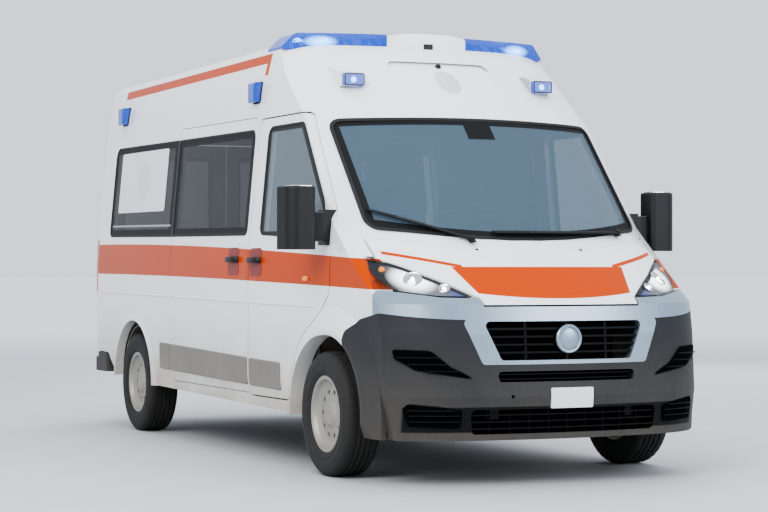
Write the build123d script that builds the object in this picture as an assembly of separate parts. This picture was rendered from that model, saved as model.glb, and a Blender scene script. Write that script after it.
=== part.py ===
from build123d import *
import math
import os

# A high-roof ambulance van as an assembly of separate pieces, in millimetres.
#
# +X is forward, +Y is the vehicle's left and +Z is up. The origin is on the ground, under the middle of its
# length and width. Distances along the body are measured back from the nose, and at() turns them into X. The
# body is one closed outer form. Its walls, panes and trims are the same form insetted, cut to the outlines of
# the real panels.

# Overall sizes
LENGTH = 5413
WHEELBASE = 3450
FRONT_OVERHANG = 948
BODY_REAR = 5353
FRONT_TRACK = 1810
REAR_TRACK = 1790
WALL = 50
GLASS = 6
MOVING_GAP = 8

# The cross-section of the body behind the cab: half width, height and corner radius
FLOOR_EDGE_Z = 240
CROSS_SECTION = (
    (968, FLOOR_EDGE_Z, 24),
    (1012, 480, 250),
    (1020, 1180, 3000),
    (922, 2230, 1000),
    (862, 2478, 85),
)
ROOF_TOP_Z = 2527
ROOF_CROWN_RADIUS = 6000
CAB_TAPER_START = 1950
CAB_TAPER = 0.04
REAR_EDGE_RADIUS = 50

# Surfaces of the front: a point on the centre line (back from the nose, height), how far the surface leans
# back for each millimetre of height, the plan radius in the middle, where the shoulder starts, its radius
FRONT_SURFACES = {
    "chin": (0, 470, -0.12, 2900, 600, 590),
    "nose": (0, 470, 0.07, 2900, 600, 590),
    "lip": (22, 790, 0.18, 2900, 600, 590),
    "bonnet": (50, 948, 1.335, 2900, 600, 590),
    "windscreen": (480, 1280, 0.9035, 2300, 600, 600),
    "forehead": (1123, 1992, 1.317, 2300, 600, 600),
}
SHOULDER_END_DEG = 86
REGION_LOW_Z = -400
REGION_HIGH_Z = 2900
REGION_BACK = 6500
WIDE = 1200

NOSE_X = LENGTH / 2

# The roof's lower edge along the side: height at the front of the cab and at the rear
SEAM_START_BACK = 600
SEAM_START_Z = 2039
SEAM_SLOPE = 0.0143

# Wheels and tyres
TYRE_RADIUS = 341
RIM_RADIUS = 203
ARCH_RADIUS = 430
HUB_Z = TYRE_RADIUS
STEER_PIVOT_Y = 845

# Outlines in side view: back from the nose, height, corner radius
CAB_DOOR = (
    (2085, 385, 25),
    (2085, 1300, 400),
    (2073, 2022, 50),
    (1404, 2022, 90),
    (935, 1440, 120),
    (935, 1010, 90),
    (1085, 868, 120),
    (1333, 726, 160),
    (1474, 482, 120),
    (1480, 385, 20),
)
CAB_WINDOW = (
    (1925, 1338, 45),
    (1918, 1968, 60),
    (1426, 1968, 60),
    (1062, 1512, 50),
    (1000, 1300, 45),
    (1300, 1312, 200),
)
SLIDING_DOOR = (
    (2117, 395, 30),
    (2117, 2040, 50),
    (3583, 2060, 60),
    (3583, 395, 60),
)
FRONT_SIDE_WINDOW = (
    (2150, 1338, 40),
    (2150, 1966, 50),
    (3565, 1985, 20),
    (3565, 1352, 20),
)
REAR_SIDE_WINDOW = (
    (3603, 1352, 20),
    (3603, 1986, 20),
    (5012, 2006, 70),
    (5012, 1371, 50),
)

# Outlines in front view: half width from the middle, height, corner radius
WINDSCREEN = (
    (838, 1352, 60),
    (834, 1976, 60),
    (0, 1996, 16000),
    (-834, 1976, 60),
    (-838, 1352, 60),
    (0, 1268, 4500),
)
LAMP_FRONT_VIEW = (
    (462, 978, 8),
    (670, 983, 100),
    (850, 1010, 60),
    (1060, 1030, 0),
    (1060, 1198, 0),
    (462, 1198, 0),
)
LAMP_SIDE_VIEW = (
    (0, 900, 0),
    (395, 900, 0),
    (412, 1010, 40),
    (622, 1200, 20),
    (622, 1260, 0),
    (0, 1260, 0),
)
BONNET_EDGE = (
    (60, 452),
    (135, 466),
    (350, 688),
    (560, 862),
    (740, 868),
)
BONNET_THICKNESS = 25
BONNET_LEAN = 0.3158
BUMPER_SIDE = (
    (-60, 244, 0),
    (-60, 868, 0),
    (90, 868, 200),
    (332, 902, 150),
    (560, 866, 120),
    (692, 800, 30),
    (704, 640, 20),
    (560, 244, 0),
)
BUMPER_TUCK = (
    (-1100, 950, 0),
    (1100, 950, 0),
    (1100, 560, 300),
    (955, 220, 0),
    (-955, 220, 0),
    (-1100, 560, 300),
)
FOG_RECESS = (
    (520, 556, 6),
    (820, 604, 60),
    (915, 664, 25),
    (925, 722, 12),
    (750, 716, 60),
    (655, 630, 60),
)
LOW_RECESS = (
    (600, 300, 20),
    (858, 312, 20),
    (876, 440, 30),
    (720, 425, 60),
    (600, 404, 15),
)
INTAKE = (
    (-540, 276, 20),
    (540, 276, 20),
    (555, 404, 30),
    (-555, 404, 30),
)
SLOT = (
    (-400, 545, 20),
    (400, 545, 20),
    (410, 600, 20),
    (-410, 600, 20),
)
RECESS_DEPTH = 26

# Bulges around the wheels: (radius, y outwards, corner radius), the front one tilted with the side of the cab
FRONT_FLARE = (
    (ARCH_RADIUS, 940, 0),
    (ARCH_RADIUS, 1014, 8),
    (465, 1018, 30),
    (600, 973, 0),
    (600, 940, 0),
)
REAR_FLARE = (
    (ARCH_RADIUS, 975, 0),
    (ARCH_RADIUS, 1026, 6),
    (446, 1026, 12),
    (495, 1006, 0),
    (495, 975, 0),
)
GRILLE_HALF_TOP = (478, 859)
GRILLE_HALF_LOW = (385, 657)
SURROUND_HALF_TOP = (590, 872)
SURROUND_HALF_LOW = (487, 636)
REAR_DOOR = (
    (5, 505, 4),
    (945, 505, 40),
    (945, 1300, 500),
    (872, 2070, 60),
    (5, 2070, 4),
)
REAR_WINDOW = (
    (95, 1371, 45),
    (835, 1371, 45),
    (795, 1990, 60),
    (95, 1990, 45),
)


def at(back):
    """X of a place given by its distance back from the nose."""
    return NOSE_X - back


FRONT_AXLE = FRONT_OVERHANG
REAR_AXLE = FRONT_OVERHANG + WHEELBASE


def seam_z(back):
    """Height of the roof's lower edge at a distance back from the nose."""
    return SEAM_START_Z + (back - SEAM_START_BACK) * SEAM_SLOPE


def outline(corners):
    """Closed wire in the XY plane through corners of (u, v, radius)."""
    count = len(corners)
    turns = []
    for i in range(count):
        here = Vector(corners[i][0], corners[i][1])
        radius = corners[i][2]
        before = Vector(corners[i - 1][0], corners[i - 1][1])
        after = Vector(corners[(i + 1) % count][0], corners[(i + 1) % count][1])
        if radius == 0:
            turns.append((here, here, here))
            continue
        back = (before - here).normalized()
        on = (after - here).normalized()
        half = math.radians(back.get_angle(on)) / 2
        run = radius / math.tan(half)
        middle = here + (back + on).normalized() * (radius / math.sin(half) - radius)
        turns.append((here + back * run, middle, here + on * run))
    edges = []
    for i in range(count):
        start, middle, end = turns[i]
        following = turns[(i + 1) % count][0]
        if (end - start).length > 1e-6:
            edges.append(ThreePointArc(start, middle, end))
        if (following - end).length > 1e-6:
            edges.append(Line(end, following))
    return Wire([e.edge() for e in edges])


PLANES = {
    "x": Plane.YZ,
    "y": Plane((0, 0, 0), (1, 0, 0), (0, -1, 0)),
    "z": Plane.XY,
}
DIRECTIONS = {"x": Vector(1, 0, 0), "y": Vector(0, 1, 0), "z": Vector(0, 0, 1)}


def prism(axis, corners, low, high):
    """Solid that runs from low to high along an axis, with the corners' outline across it."""
    face = Face(outline(corners)).moved(PLANES[axis].location)
    along = DIRECTIONS[axis]
    return Solid.extrude(face.translate(along * low), along * (high - low))


def side_prism(corners, low=-WIDE, high=WIDE):
    """Prism across the body, its corners given as (back from the nose, height, radius)."""
    return prism("y", [(at(back), z, r) for back, z, r in corners], low, high)


def front_prism(corners, back_front, back_rear):
    """Prism along the body, its corners given as (y, height, radius)."""
    return prism("x", corners, at(back_rear), at(back_front))


def block(back_front, back_rear, y_low, y_high, z_low, z_high):
    """Box between two distances back from the nose."""
    size = Box(back_rear - back_front, y_high - y_low, z_high - z_low)
    return Pos(at((back_front + back_rear) / 2), (y_low + y_high) / 2, (z_low + z_high) / 2) * size


def rod(axis, radius, back, y, z, length):
    """Cylinder centred on a point, along an axis."""
    turn = {"x": Rot(0, 90, 0), "y": Rot(90, 0, 0), "z": Rot(0, 0, 0)}[axis]
    return Pos(at(back), y, z) * turn * Cylinder(radius, length)


def both(right):
    """A piece of the right side together with its mirror image."""
    return Compound([*right.solids(), *mirrored(right).solids()])


def mirrored(piece):
    """The same piece on the other side."""
    return piece.mirror(Plane.XZ)


def offset_corners(corners, amount):
    """The same outline with every side moved inwards by an amount, which is negative to move it outwards."""
    count = len(corners)
    area = sum(corners[i - 1][0] * corners[i][1] - corners[i][0] * corners[i - 1][1] for i in range(count))
    hand = 1 if area > 0 else -1
    moved = []
    for i in range(count):
        here = Vector(corners[i][0], corners[i][1])
        before = Vector(corners[i - 1][0], corners[i - 1][1])
        after = Vector(corners[(i + 1) % count][0], corners[(i + 1) % count][1])
        arriving = (here - before).normalized()
        leaving = (after - here).normalized()
        inward_a = Vector(-arriving.Y, arriving.X) * hand
        inward_b = Vector(-leaving.Y, leaving.X) * hand
        share = amount / (1 + inward_a.dot(inward_b))
        spot = here + (inward_a + inward_b) * share
        turn = arriving.X * leaving.Y - arriving.Y * leaving.X
        outward = 1 if turn * hand > 0 else -1
        radius = max(corners[i][2] - amount * outward, 3) if corners[i][2] else 0
        moved.append((spot.X, spot.Y, radius))
    return moved


def front_region(name, inset, high=REGION_HIGH_Z):
    """Everything behind one of the front surfaces, which is insetted."""
    back, z, lean, radius, shoulder_start, shoulder_radius = FRONT_SURFACES[name]
    step = inset * math.hypot(1, lean)
    start = math.asin(shoulder_start / radius)
    end = math.radians(SHOULDER_END_DEG)
    low_x = at(back) + (z - REGION_LOW_Z) * lean
    centre_x = low_x - radius
    shoulder_x = centre_x + (radius - shoulder_radius) * math.cos(start)
    shoulder_y = (radius - shoulder_radius) * math.sin(start)
    r = radius - step
    s = shoulder_radius - step

    def on_shoulder(angle, side):
        return Vector(shoulder_x + s * math.cos(angle), side * (shoulder_y + s * math.sin(angle)), REGION_LOW_Z)

    left = [on_shoulder(a, 1) for a in (start, (start + end) / 2, end)]
    right = [on_shoulder(a, -1) for a in (start, (start + end) / 2, end)]
    tail_x = at(REGION_BACK)
    wall_y = left[2].Y
    tail_left = Vector(tail_x, wall_y, REGION_LOW_Z)
    tail_right = Vector(tail_x, -wall_y, REGION_LOW_Z)
    edges = [
        ThreePointArc(right[0], Vector(centre_x + r, 0, REGION_LOW_Z), left[0]),
        ThreePointArc(*left),
        Line(left[2], tail_left),
        Line(tail_left, tail_right),
        Line(tail_right, right[2]),
        ThreePointArc(*reversed(right)),
    ]
    face = Face(Wire([e.edge() for e in edges]))
    rise = high - REGION_LOW_Z
    return Solid.extrude(face, Vector(-rise * lean, 0, rise))


def front_skin(name, outer_inset, inner_inset):
    """The layer between two depths under one of the front surfaces."""
    return front_region(name, outer_inset) - front_region(name, inner_inset)


def envelope(inset, bottom=FLOOR_EDGE_Z):
    """The body's outer form, insetted all over, down to a bottom height."""
    left = [(y, z, r) for y, z, r in CROSS_SECTION]
    left[0] = (left[0][0], bottom, left[0][2])
    crown = (0, ROOF_TOP_Z, ROOF_CROWN_RADIUS)
    right = [(-y, z, r) for y, z, r in reversed(left)]
    section = offset_corners([*left, crown, *right], inset)
    rear = prism("x", section, at(BODY_REAR) + inset, at(CAB_TAPER_START))
    rear_face = rear.faces().sort_by(Axis.X)[0]
    rear = fillet(rear_face.edges(), max(REAR_EDGE_RADIUS - inset, 3))

    cut_y = -500
    half = [c for c in section if c[0] > 1]
    _, top_z, crown_radius = section[len(left)]
    cut_z = top_z - (top_z - half[-1][1]) * -cut_y / half[-1][0]
    half = [(cut_y, half[0][1], 0), *half, (0, top_z, crown_radius), (cut_y, cut_z, 0)]
    face = Face(outline(half)).moved(Plane.YZ.location).translate((at(CAB_TAPER_START), 0, 0))
    reach = CAB_TAPER_START + 300
    left_cab = Solid.extrude(face, Vector(reach, -CAB_TAPER * reach, 0))
    cab = left_cab + mirrored(left_cab)
    cab = cab & (front_region("bonnet", inset) + front_region("windscreen", inset))
    for name in ("forehead", "lip", "nose", "chin"):
        cab = cab & front_region(name, inset)
    return (rear + cab).clean()


outer = envelope(0)
inner = envelope(WALL, REGION_LOW_Z)
under_glass = envelope(GLASS, REGION_LOW_Z)
glass_layer = outer - under_glass


def turned(profile, back, y, tilt_deg=0):
    """Solid of revolution about an axle line, its profile given as (radius, y outwards, corner radius)."""
    face = Face(outline(profile)).moved(Plane.XY.location)
    solid = revolve(face, Axis.Y, 360)
    return Pos(at(back), y, HUB_Z) * Rot(0, 0, tilt_deg) * solid


front_flare = turned(FRONT_FLARE, FRONT_AXLE, 0, -math.degrees(math.atan(CAB_TAPER)))
rear_flare = turned(REAR_FLARE, REAR_AXLE, 0)
shell = (outer - inner) + both(front_flare) + both(rear_flare)

parts = {}


# Zones that the openings and the moving pieces take out of the shell
DOOR_INNER_Y = 845
cab_door_zone = side_prism(CAB_DOOR, -WIDE, -DOOR_INNER_Y)
cab_door_cut = both(side_prism(offset_corners(CAB_DOOR, -MOVING_GAP), -WIDE, -DOOR_INNER_Y))
cab_window_cut = side_prism(CAB_WINDOW, -WIDE, -600)
front_side_window_cut = side_prism(FRONT_SIDE_WINDOW, -WIDE, -600)
rear_side_window_cut = side_prism(REAR_SIDE_WINDOW, -WIDE, -600)


def arch_cut(back, radius=ARCH_RADIUS):
    """Cylinder across the body around an axle."""
    return rod("y", radius, back, 0, HUB_Z, 2 * WIDE)


def bonnet_zone(gap):
    """Prism along the bonnet's opening movement, its edge moved outwards by a gap."""
    right = [(b + BONNET_LEAN * skin_z(b, y), -y) for b, y in BONNET_EDGE]
    reach_front = right[0][0] - 400
    points = [(reach_front, right[0][1]), *right]
    points = [(at(b), y, 0) for b, y in points]
    points = [*points, *[(x, -y, 0) for x, y, _ in reversed(points)]]
    points = offset_corners(points, -gap)
    face = Face(outline(points))
    zone = Solid.extrude(face, Vector(BONNET_LEAN * 1800, 0, 1800))
    return zone & block(-400, 900, -WIDE, WIDE, 944 - gap * 1.0, 1400)


def plan_drop(name, y):
    """How far a front surface falls back at a distance from the middle."""
    radius, shoulder_start, shoulder_radius = FRONT_SURFACES[name][3:6]
    if abs(y) <= shoulder_start:
        return radius - math.sqrt(radius**2 - y**2)
    start = math.asin(shoulder_start / radius)
    middle_x = (radius - shoulder_radius) * math.cos(start)
    middle_y = (radius - shoulder_radius) * math.sin(start)
    return radius - middle_x - math.sqrt(shoulder_radius**2 - (abs(y) - middle_y) ** 2)


def skin_z(back, y):
    """Height of the bonnet's surface at a place."""
    start_back, start_z, lean = FRONT_SURFACES["bonnet"][:3]
    return start_z + (back - start_back - plan_drop("bonnet", y)) / lean


def trapezoid(top, low):
    """Symmetric front-view outline from the upper and lower corners of one half."""
    return [(-low[0], low[1], 25), (low[0], low[1], 25), (top[0], top[1], 25), (-top[0], top[1], 25)]


# Bonnet
bonnet_shape = (outer & bonnet_zone(0)) - front_region("windscreen", -MOVING_GAP)
bonnet_inside = front_region("bonnet", BONNET_THICKNESS) & front_region("lip", BONNET_THICKNESS)
parts["bonnet"] = bonnet_shape - bonnet_inside
bonnet_cut = bonnet_zone(MOVING_GAP + 1)

# Windscreen frame with the pillars and the panel under the wipers
front_shell = shell & side_prism(
    [(-60, 200, 0), (2093, 200, 0), (2093, seam_z(2093), 0), (-60, seam_z(-60), 0)]
)
cowl_box = block(380, 960, -872, 872, 1150, 1336)
cowl = front_skin("windscreen", 0, WALL) & cowl_box & outer
pillar_zone = side_prism([(300, 1335, 0), (300, 2100, 0), (2200, 2100, 0), (2200, 1335, 0)])
windscreen_cut = front_prism(WINDSCREEN, 300, 1700)
windscreen_frame = (front_shell & pillar_zone) - cab_door_cut - windscreen_cut
windscreen_frame = windscreen_frame + (cowl - windscreen_cut - cab_door_cut)
parts["windscreen_frame"] = windscreen_frame.clean()
parts["windscreen"] = (
    front_skin("windscreen", 0, GLASS) & front_prism(offset_corners(WINDSCREEN, 0.3), 300, 1700)
)

# Headlamps
lamp_zone = front_prism(LAMP_FRONT_VIEW, 0, 700) & side_prism(LAMP_SIDE_VIEW, 300, WIDE)
lamp_zone = lamp_zone.solids()[0]
lamp_left = (front_shell & lamp_zone) - bonnet_cut
lamp_zones = both(mirrored(lamp_zone))
parts["headlamps"] = both(lamp_left)

# Nose panel with the opening of the grille, front bumper and front wings
BAND_LOW_Z = 866
NOSE_PANEL_END = 408
bumper_zone = side_prism(BUMPER_SIDE)
surround = front_prism(trapezoid(SURROUND_HALF_TOP, SURROUND_HALF_LOW), -60, 400)
grille_cut = front_prism(trapezoid(GRILLE_HALF_TOP, GRILLE_HALF_LOW), -60, 400)
band = block(-60, NOSE_PANEL_END, -WIDE, WIDE, BAND_LOW_Z, 1120) - bumper_zone
nose_panel = (front_shell & (band + surround)) - bonnet_cut - lamp_zones - grille_cut
parts["nose_panel"] = nose_panel.clean()

slot = front_prism(SLOT, -60, 400)
intake = front_prism(INTAKE, -60, 400)
bumper = (front_shell & bumper_zone & front_prism(BUMPER_TUCK, -60, 900)) - surround - slot - intake
recesses = front_prism(FOG_RECESS, -60, 420) + front_prism(LOW_RECESS, -60, 420)
recesses = recesses - front_region("nose", RECESS_DEPTH) - front_region("chin", RECESS_DEPTH)
bumper = bumper - both(mirrored(recesses)) - arch_cut(FRONT_AXLE)
TOW_Y = -330
TOW_Z = 470
TOW_HOLE_RADIUS = 9
boss = rod("x", 28, 100, TOW_Y, TOW_Z, 80) + rod("x", 28, 60, TOW_Y, TOW_Z, 20)
parts["front_bumper"] = (bumper + boss) - rod("x", TOW_HOLE_RADIUS, 60, TOW_Y, TOW_Z, 140)

wing_side = [
    (NOSE_PANEL_END, 700, 0),
    (NOSE_PANEL_END, 1335, 0),
    (1464, 1335, 0),
    (1464, 311, 0),
    (900, 311, 0),
    (900, 700, 0),
]
wings = (front_shell & side_prism(wing_side)) - bumper_zone - cab_door_cut - bonnet_cut - lamp_zones - cowl_box
parts["front_wings"] = wings - arch_cut(FRONT_AXLE)

# Body sides with the sills, the sliding door on the right
SIDE_END = 5240
body_side_outline = [
    (1464, 311, 0),
    (1464, 377, 0),
    (2093, 377, 0),
    (2093, seam_z(2093), 0),
    (SIDE_END, seam_z(SIDE_END), 0),
    (SIDE_END, 530, 0),
    (5014, 526, 60),
    (4873, 380, 30),
    (4700, 345, 0),
    (3990, 341, 0),
]
SIDE_INNER_Y = 700
side = shell & side_prism(body_side_outline, -WIDE, -SIDE_INNER_Y)
side = side - arch_cut(REAR_AXLE) - rear_side_window_cut
left_side = side - front_side_window_cut
parts["body_side_left"] = mirrored(left_side)
parts["body_side_right"] = side - side_prism(offset_corners(SLIDING_DOOR, -4), -WIDE, -SIDE_INNER_Y)
sliding_door = shell & side_prism(SLIDING_DOOR, -WIDE, -SIDE_INNER_Y)
parts["sliding_door"] = sliding_door - front_side_window_cut

# Rear frame and roof
rear_frame_outline = [
    (SIDE_END, 400, 0),
    (SIDE_END, seam_z(SIDE_END), 0),
    (BODY_REAR + 60, seam_z(BODY_REAR + 60), 0),
    (BODY_REAR + 60, 400, 0),
]
rear_door_cut = both(front_prism(offset_corners(REAR_DOOR, -MOVING_GAP), 5200, 5500))
rear_opening = rear_door_cut + block(5200, 5500, -100, 100, 505 - MOVING_GAP, 2070 + MOVING_GAP)
tail_lamp_zone = front_prism([(956, 960, 8), (1100, 960, 0), (1100, 1350, 0), (956, 1350, 8)], 5270, 5400)
tail_lamp_zones = both(tail_lamp_zone)
rear_frame = shell & side_prism(rear_frame_outline)
parts["rear_frame"] = rear_frame - rear_opening - tail_lamp_zones
parts["tail_lamps"] = rear_frame & tail_lamp_zones

roof_outline = [
    (300, seam_z(300), 0),
    (300, 2700, 0),
    (BODY_REAR + 60, 2700, 0),
    (BODY_REAR + 60, seam_z(BODY_REAR + 60), 0),
]
recess = front_prism([(-283, 2140, 40), (283, 2140, 40), (340, 2361, 40), (-340, 2361, 40)], 1000, 2000)
recess = recess & front_skin("forehead", -5, 12)
parts["roof"] = (shell & side_prism(roof_outline)) - recess

# Doors that move
cab_door = (shell & cab_door_zone) - cab_window_cut
parts["cab_door_right"] = cab_door
parts["cab_door_left"] = mirrored(cab_door)
cab_glass = glass_layer & side_prism(offset_corners(CAB_WINDOW, 0.3), -WIDE, -600) & cab_door_zone
parts["cab_glass_right"] = cab_glass
parts["cab_glass_left"] = mirrored(cab_glass)

rear_window_cut = front_prism(REAR_WINDOW, 5200, 5500)
rear_door = (shell & front_prism(REAR_DOOR, 5290, 5500)) - rear_window_cut
parts["rear_door_left"] = rear_door
parts["rear_door_right"] = mirrored(rear_door)
rear_glass = glass_layer & front_prism(offset_corners(REAR_WINDOW, 0.3), 5290, 5500)
parts["rear_glass_left"] = rear_glass
parts["rear_glass_right"] = mirrored(rear_glass)

front_pane = glass_layer & side_prism(offset_corners(FRONT_SIDE_WINDOW, 0.3), -WIDE, -SIDE_INNER_Y)
rear_pane = glass_layer & side_prism(offset_corners(REAR_SIDE_WINDOW, 0.3), -WIDE, -SIDE_INNER_Y)
side_panes = [*front_pane.solids(), *rear_pane.solids()]
parts["side_glass"] = Compound([*side_panes, *[mirrored(p) for p in side_panes]])

# Floor with its rails, the wheel housings and the firewall
FLOOR_LOW = 470
FLOOR_HIGH = 510
RAIL_IN = 380
RAIL_OUT = 450
RAIL_LOW = 350
FRONT_WELL_IN = 580
FRONT_WELL_RADIUS = 450
REAR_WELL_IN = 740
REAR_WELL_RADIUS = 390
SHEET = 12
INNER_TRIM_Y = 945
FIREWALL_BACK = 905
CROSS_MEMBERS = (1500, 2300, 3150, 3780, 4950)


def wheel_well(axle, radius, inner_y, outer_y):
    """Closed form of a wheel housing on the left: its radius about the axle and its y limits."""
    return rod("y", radius, axle, (inner_y + outer_y) / 2, HUB_Z, outer_y - inner_y)


def housing(axle, radius, inner_y, outer_y, low):
    """Wheel housing on the left, open below and to the outside."""
    shell_form = wheel_well(axle, radius + SHEET, inner_y - SHEET, outer_y)
    shell_form = shell_form - wheel_well(axle, radius, inner_y, outer_y + 100)
    return shell_form & block(axle - 600, axle + 600, 0, WIDE, low, 1000)


front_well = both(wheel_well(FRONT_AXLE, FRONT_WELL_RADIUS + SHEET, FRONT_WELL_IN - SHEET, WIDE))
rear_well = both(wheel_well(REAR_AXLE, REAR_WELL_RADIUS + SHEET, REAR_WELL_IN - SHEET, WIDE))
floor = block(FIREWALL_BACK, BODY_REAR - WALL, -WIDE, WIDE, FLOOR_LOW, FLOOR_HIGH) & inner
floor = floor - both(block(800, 2117, INNER_TRIM_Y, WIDE, 400, 600))
floor = floor + both(block(40, BODY_REAR - WALL, RAIL_IN, RAIL_OUT, RAIL_LOW, FLOOR_LOW)) & inner
for back in CROSS_MEMBERS:
    floor = floor + block(back - 40, back + 40, -RAIL_IN, RAIL_IN, 390, FLOOR_LOW)
rear_beam = block(BODY_REAR - WALL - 60, BODY_REAR - WALL, -860, 860, 410, FLOOR_LOW)
floor = (floor + rear_beam) - front_well - rear_well
floor = floor - arch_cut(REAR_AXLE, 62)
parts["floor_pan"] = floor.clean()

front_housing = housing(FRONT_AXLE, FRONT_WELL_RADIUS, FRONT_WELL_IN, INNER_TRIM_Y, 320) & inner
rear_housing = housing(REAR_AXLE, REAR_WELL_RADIUS, REAR_WELL_IN, WIDE, 345) & inner
rear_housing = rear_housing - block(REAR_AXLE - 80, REAR_AXLE + 80, 700, 745, 300, 500)
parts["wheel_housings"] = Compound([*both(front_housing).solids(), *both(rear_housing).solids()])

firewall = block(FIREWALL_BACK - 20, FIREWALL_BACK, -WIDE, WIDE, RAIL_LOW + 120, 1180) & inner
parts["firewall"] = firewall - front_well
parts["engine"] = block(300, 840, -RAIL_IN, RAIL_IN, 390, 900)
parts["radiator"] = block(215, 255, -RAIL_IN, RAIL_IN, 360, 860)

# Front suspension, knuckles and steering
ARM_LOW = 210
ARM_HIGH = 240
SUBFRAME_Y = 400
STRUT_Y = 690
BEARING_GAP = 0.05
BALL_RADIUS = 11
STUB_RADIUS = 32
arm = prism(
    "z",
    [
        (at(FRONT_AXLE - 190), SUBFRAME_Y, 0),
        (at(FRONT_AXLE - 110), 560, 60),
        (at(FRONT_AXLE - 50), 700, 60),
        (at(FRONT_AXLE - 32), 868, 28),
        (at(FRONT_AXLE + 32), 868, 28),
        (at(FRONT_AXLE + 50), 700, 60),
        (at(FRONT_AXLE + 110), 560, 60),
        (at(FRONT_AXLE + 190), SUBFRAME_Y, 0),
    ],
    ARM_LOW,
    ARM_HIGH,
)
subframe = block(FRONT_AXLE - 110, FRONT_AXLE + 110, -SUBFRAME_Y, SUBFRAME_Y, ARM_LOW, 290)
subframe = subframe + block(FRONT_AXLE - 190, FRONT_AXLE + 190, -SUBFRAME_Y, SUBFRAME_Y, ARM_LOW, ARM_HIGH)
subframe = subframe + both(block(FRONT_AXLE - 60, FRONT_AXLE + 60, RAIL_IN, SUBFRAME_Y, 290, RAIL_LOW))
strut = rod("z", 25, FRONT_AXLE, STRUT_Y, 600, 400) + rod("z", 48, FRONT_AXLE, STRUT_Y, 650, 180)
strut = strut & wheel_well(FRONT_AXLE, FRONT_WELL_RADIUS, FRONT_WELL_IN, WIDE)
ball_stud = rod("z", BALL_RADIUS, FRONT_AXLE, STEER_PIVOT_Y, ARM_HIGH + 10, 28)
suspension = subframe + both(arm + ball_stud)
parts["front_suspension"] = Compound([*suspension.clean().solids(), *both(strut).solids()])

knuckle = block(FRONT_AXLE - 38, FRONT_AXLE + 38, 785, 864, ARM_HIGH + 6, 440)
knuckle = fillet(knuckle.edges().filter_by(Axis.Y), 14)
knuckle = knuckle + rod("y", 62, FRONT_AXLE, 838, HUB_Z, 24) + rod("y", STUB_RADIUS, FRONT_AXLE, 888, HUB_Z, 90)
knuckle = knuckle + block(FRONT_AXLE + 30, FRONT_AXLE + 110, 800, 824, 300, 325)
knuckle = knuckle - rod("z", BALL_RADIUS + BEARING_GAP, FRONT_AXLE, STEER_PIVOT_Y, ARM_HIGH + 16, 32)
parts["knuckle_left"] = knuckle
parts["knuckle_right"] = mirrored(knuckle)


WHEEL_PROFILE = (
    (0, 56, 0),
    (0, 74, 0),
    (58, 72, 8),
    (84, 56, 20),
    (150, 50, 20),
    (178, 66, 12),
    (190, 88, 0),
    (RIM_RADIUS, 88, 0),
    (RIM_RADIUS, -88, 0),
    (190, -88, 0),
    (178, -40, 20),
    (178, 20, 20),
    (150, 38, 12),
    (76, 34, 12),
    (72, -32, 0),
    (STUB_RADIUS + BEARING_GAP, -32, 0),
    (STUB_RADIUS + BEARING_GAP, 56, 0),
)
TYRE_PROFILE = (
    (RIM_RADIUS, -88, 0),
    (RIM_RADIUS, 88, 0),
    (224, 101, 20),
    (275, 107.5, 60),
    (326, 100, 30),
    (TYRE_RADIUS, 72, 20),
    (TYRE_RADIUS, -72, 20),
    (326, -100, 30),
    (275, -107.5, 60),
    (224, -101, 20),
)
HAND_HOLES = 10
HAND_HOLE_RADIUS = 13
HAND_HOLE_CIRCLE = 122
WHEELS = (
    ("front", FRONT_AXLE, FRONT_TRACK / 2),
    ("rear", REAR_AXLE, REAR_TRACK / 2),
)
for name, axle, y in WHEELS:
    wheel = turned(WHEEL_PROFILE, axle, y)
    for i in range(HAND_HOLES):
        angle = 2 * math.pi * i / HAND_HOLES
        hole_x = HAND_HOLE_CIRCLE * math.cos(angle)
        hole_z = HAND_HOLE_CIRCLE * math.sin(angle)
        wheel = wheel - Pos(hole_x, 0, hole_z) * rod("y", HAND_HOLE_RADIUS, axle, y + 50, HUB_Z, 80)
    tyre = turned(TYRE_PROFILE, axle, y)
    parts[f"wheel_{name}_left"] = wheel
    parts[f"wheel_{name}_right"] = mirrored(wheel)
    parts[f"tyre_{name}_left"] = tyre
    parts[f"tyre_{name}_right"] = mirrored(tyre)

# Rear axle, leaf springs, tank and exhaust
SPRING_IN = 485
SPRING_OUT = 555
leaf = side_prism(
    [
        (3800, 380, 0),
        (3800, 410, 0),
        (REAR_AXLE, 197, 1700),
        (4996, 410, 0),
        (4996, 380, 0),
        (REAR_AXLE, 167, 1700),
    ],
    SPRING_IN,
    SPRING_OUT,
)
front_hanger = block(3770, 3830, RAIL_OUT, SPRING_OUT, 385, FLOOR_LOW)
rear_hanger = block(4966, 5026, RAIL_OUT, SPRING_OUT, 385, FLOOR_LOW)
parts["leaf_springs"] = both(leaf + front_hanger + rear_hanger)
axle = rod("y", 45, REAR_AXLE, 0, HUB_Z, 1540) + rod("y", 105, REAR_AXLE, 0, HUB_Z, 150)
axle = axle + both(rod("y", 122, REAR_AXLE, 785, HUB_Z, 30) + rod("y", STUB_RADIUS, REAR_AXLE, 840, HUB_Z, 160))
pads = both(block(REAR_AXLE - 48, REAR_AXLE + 48, SPRING_IN - 5, SPRING_OUT + 5, 280, 325))
parts["rear_axle"] = (axle + pads) - both(leaf)
tank = block(2500, 3300, RAIL_OUT, 860, 280, FLOOR_LOW)
parts["fuel_tank"] = fillet(tank.edges().filter_by(Axis.X), 40)
exhaust = rod("x", 26, 2640, -600, 380, 2400) + rod("x", 85, 2900, -600, 380, 620)
for back in (1980, 3500):
    exhaust = exhaust + block(back, back + 30, -600, -RAIL_OUT, 380, FLOOR_LOW)
parts["exhaust"] = exhaust

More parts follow.
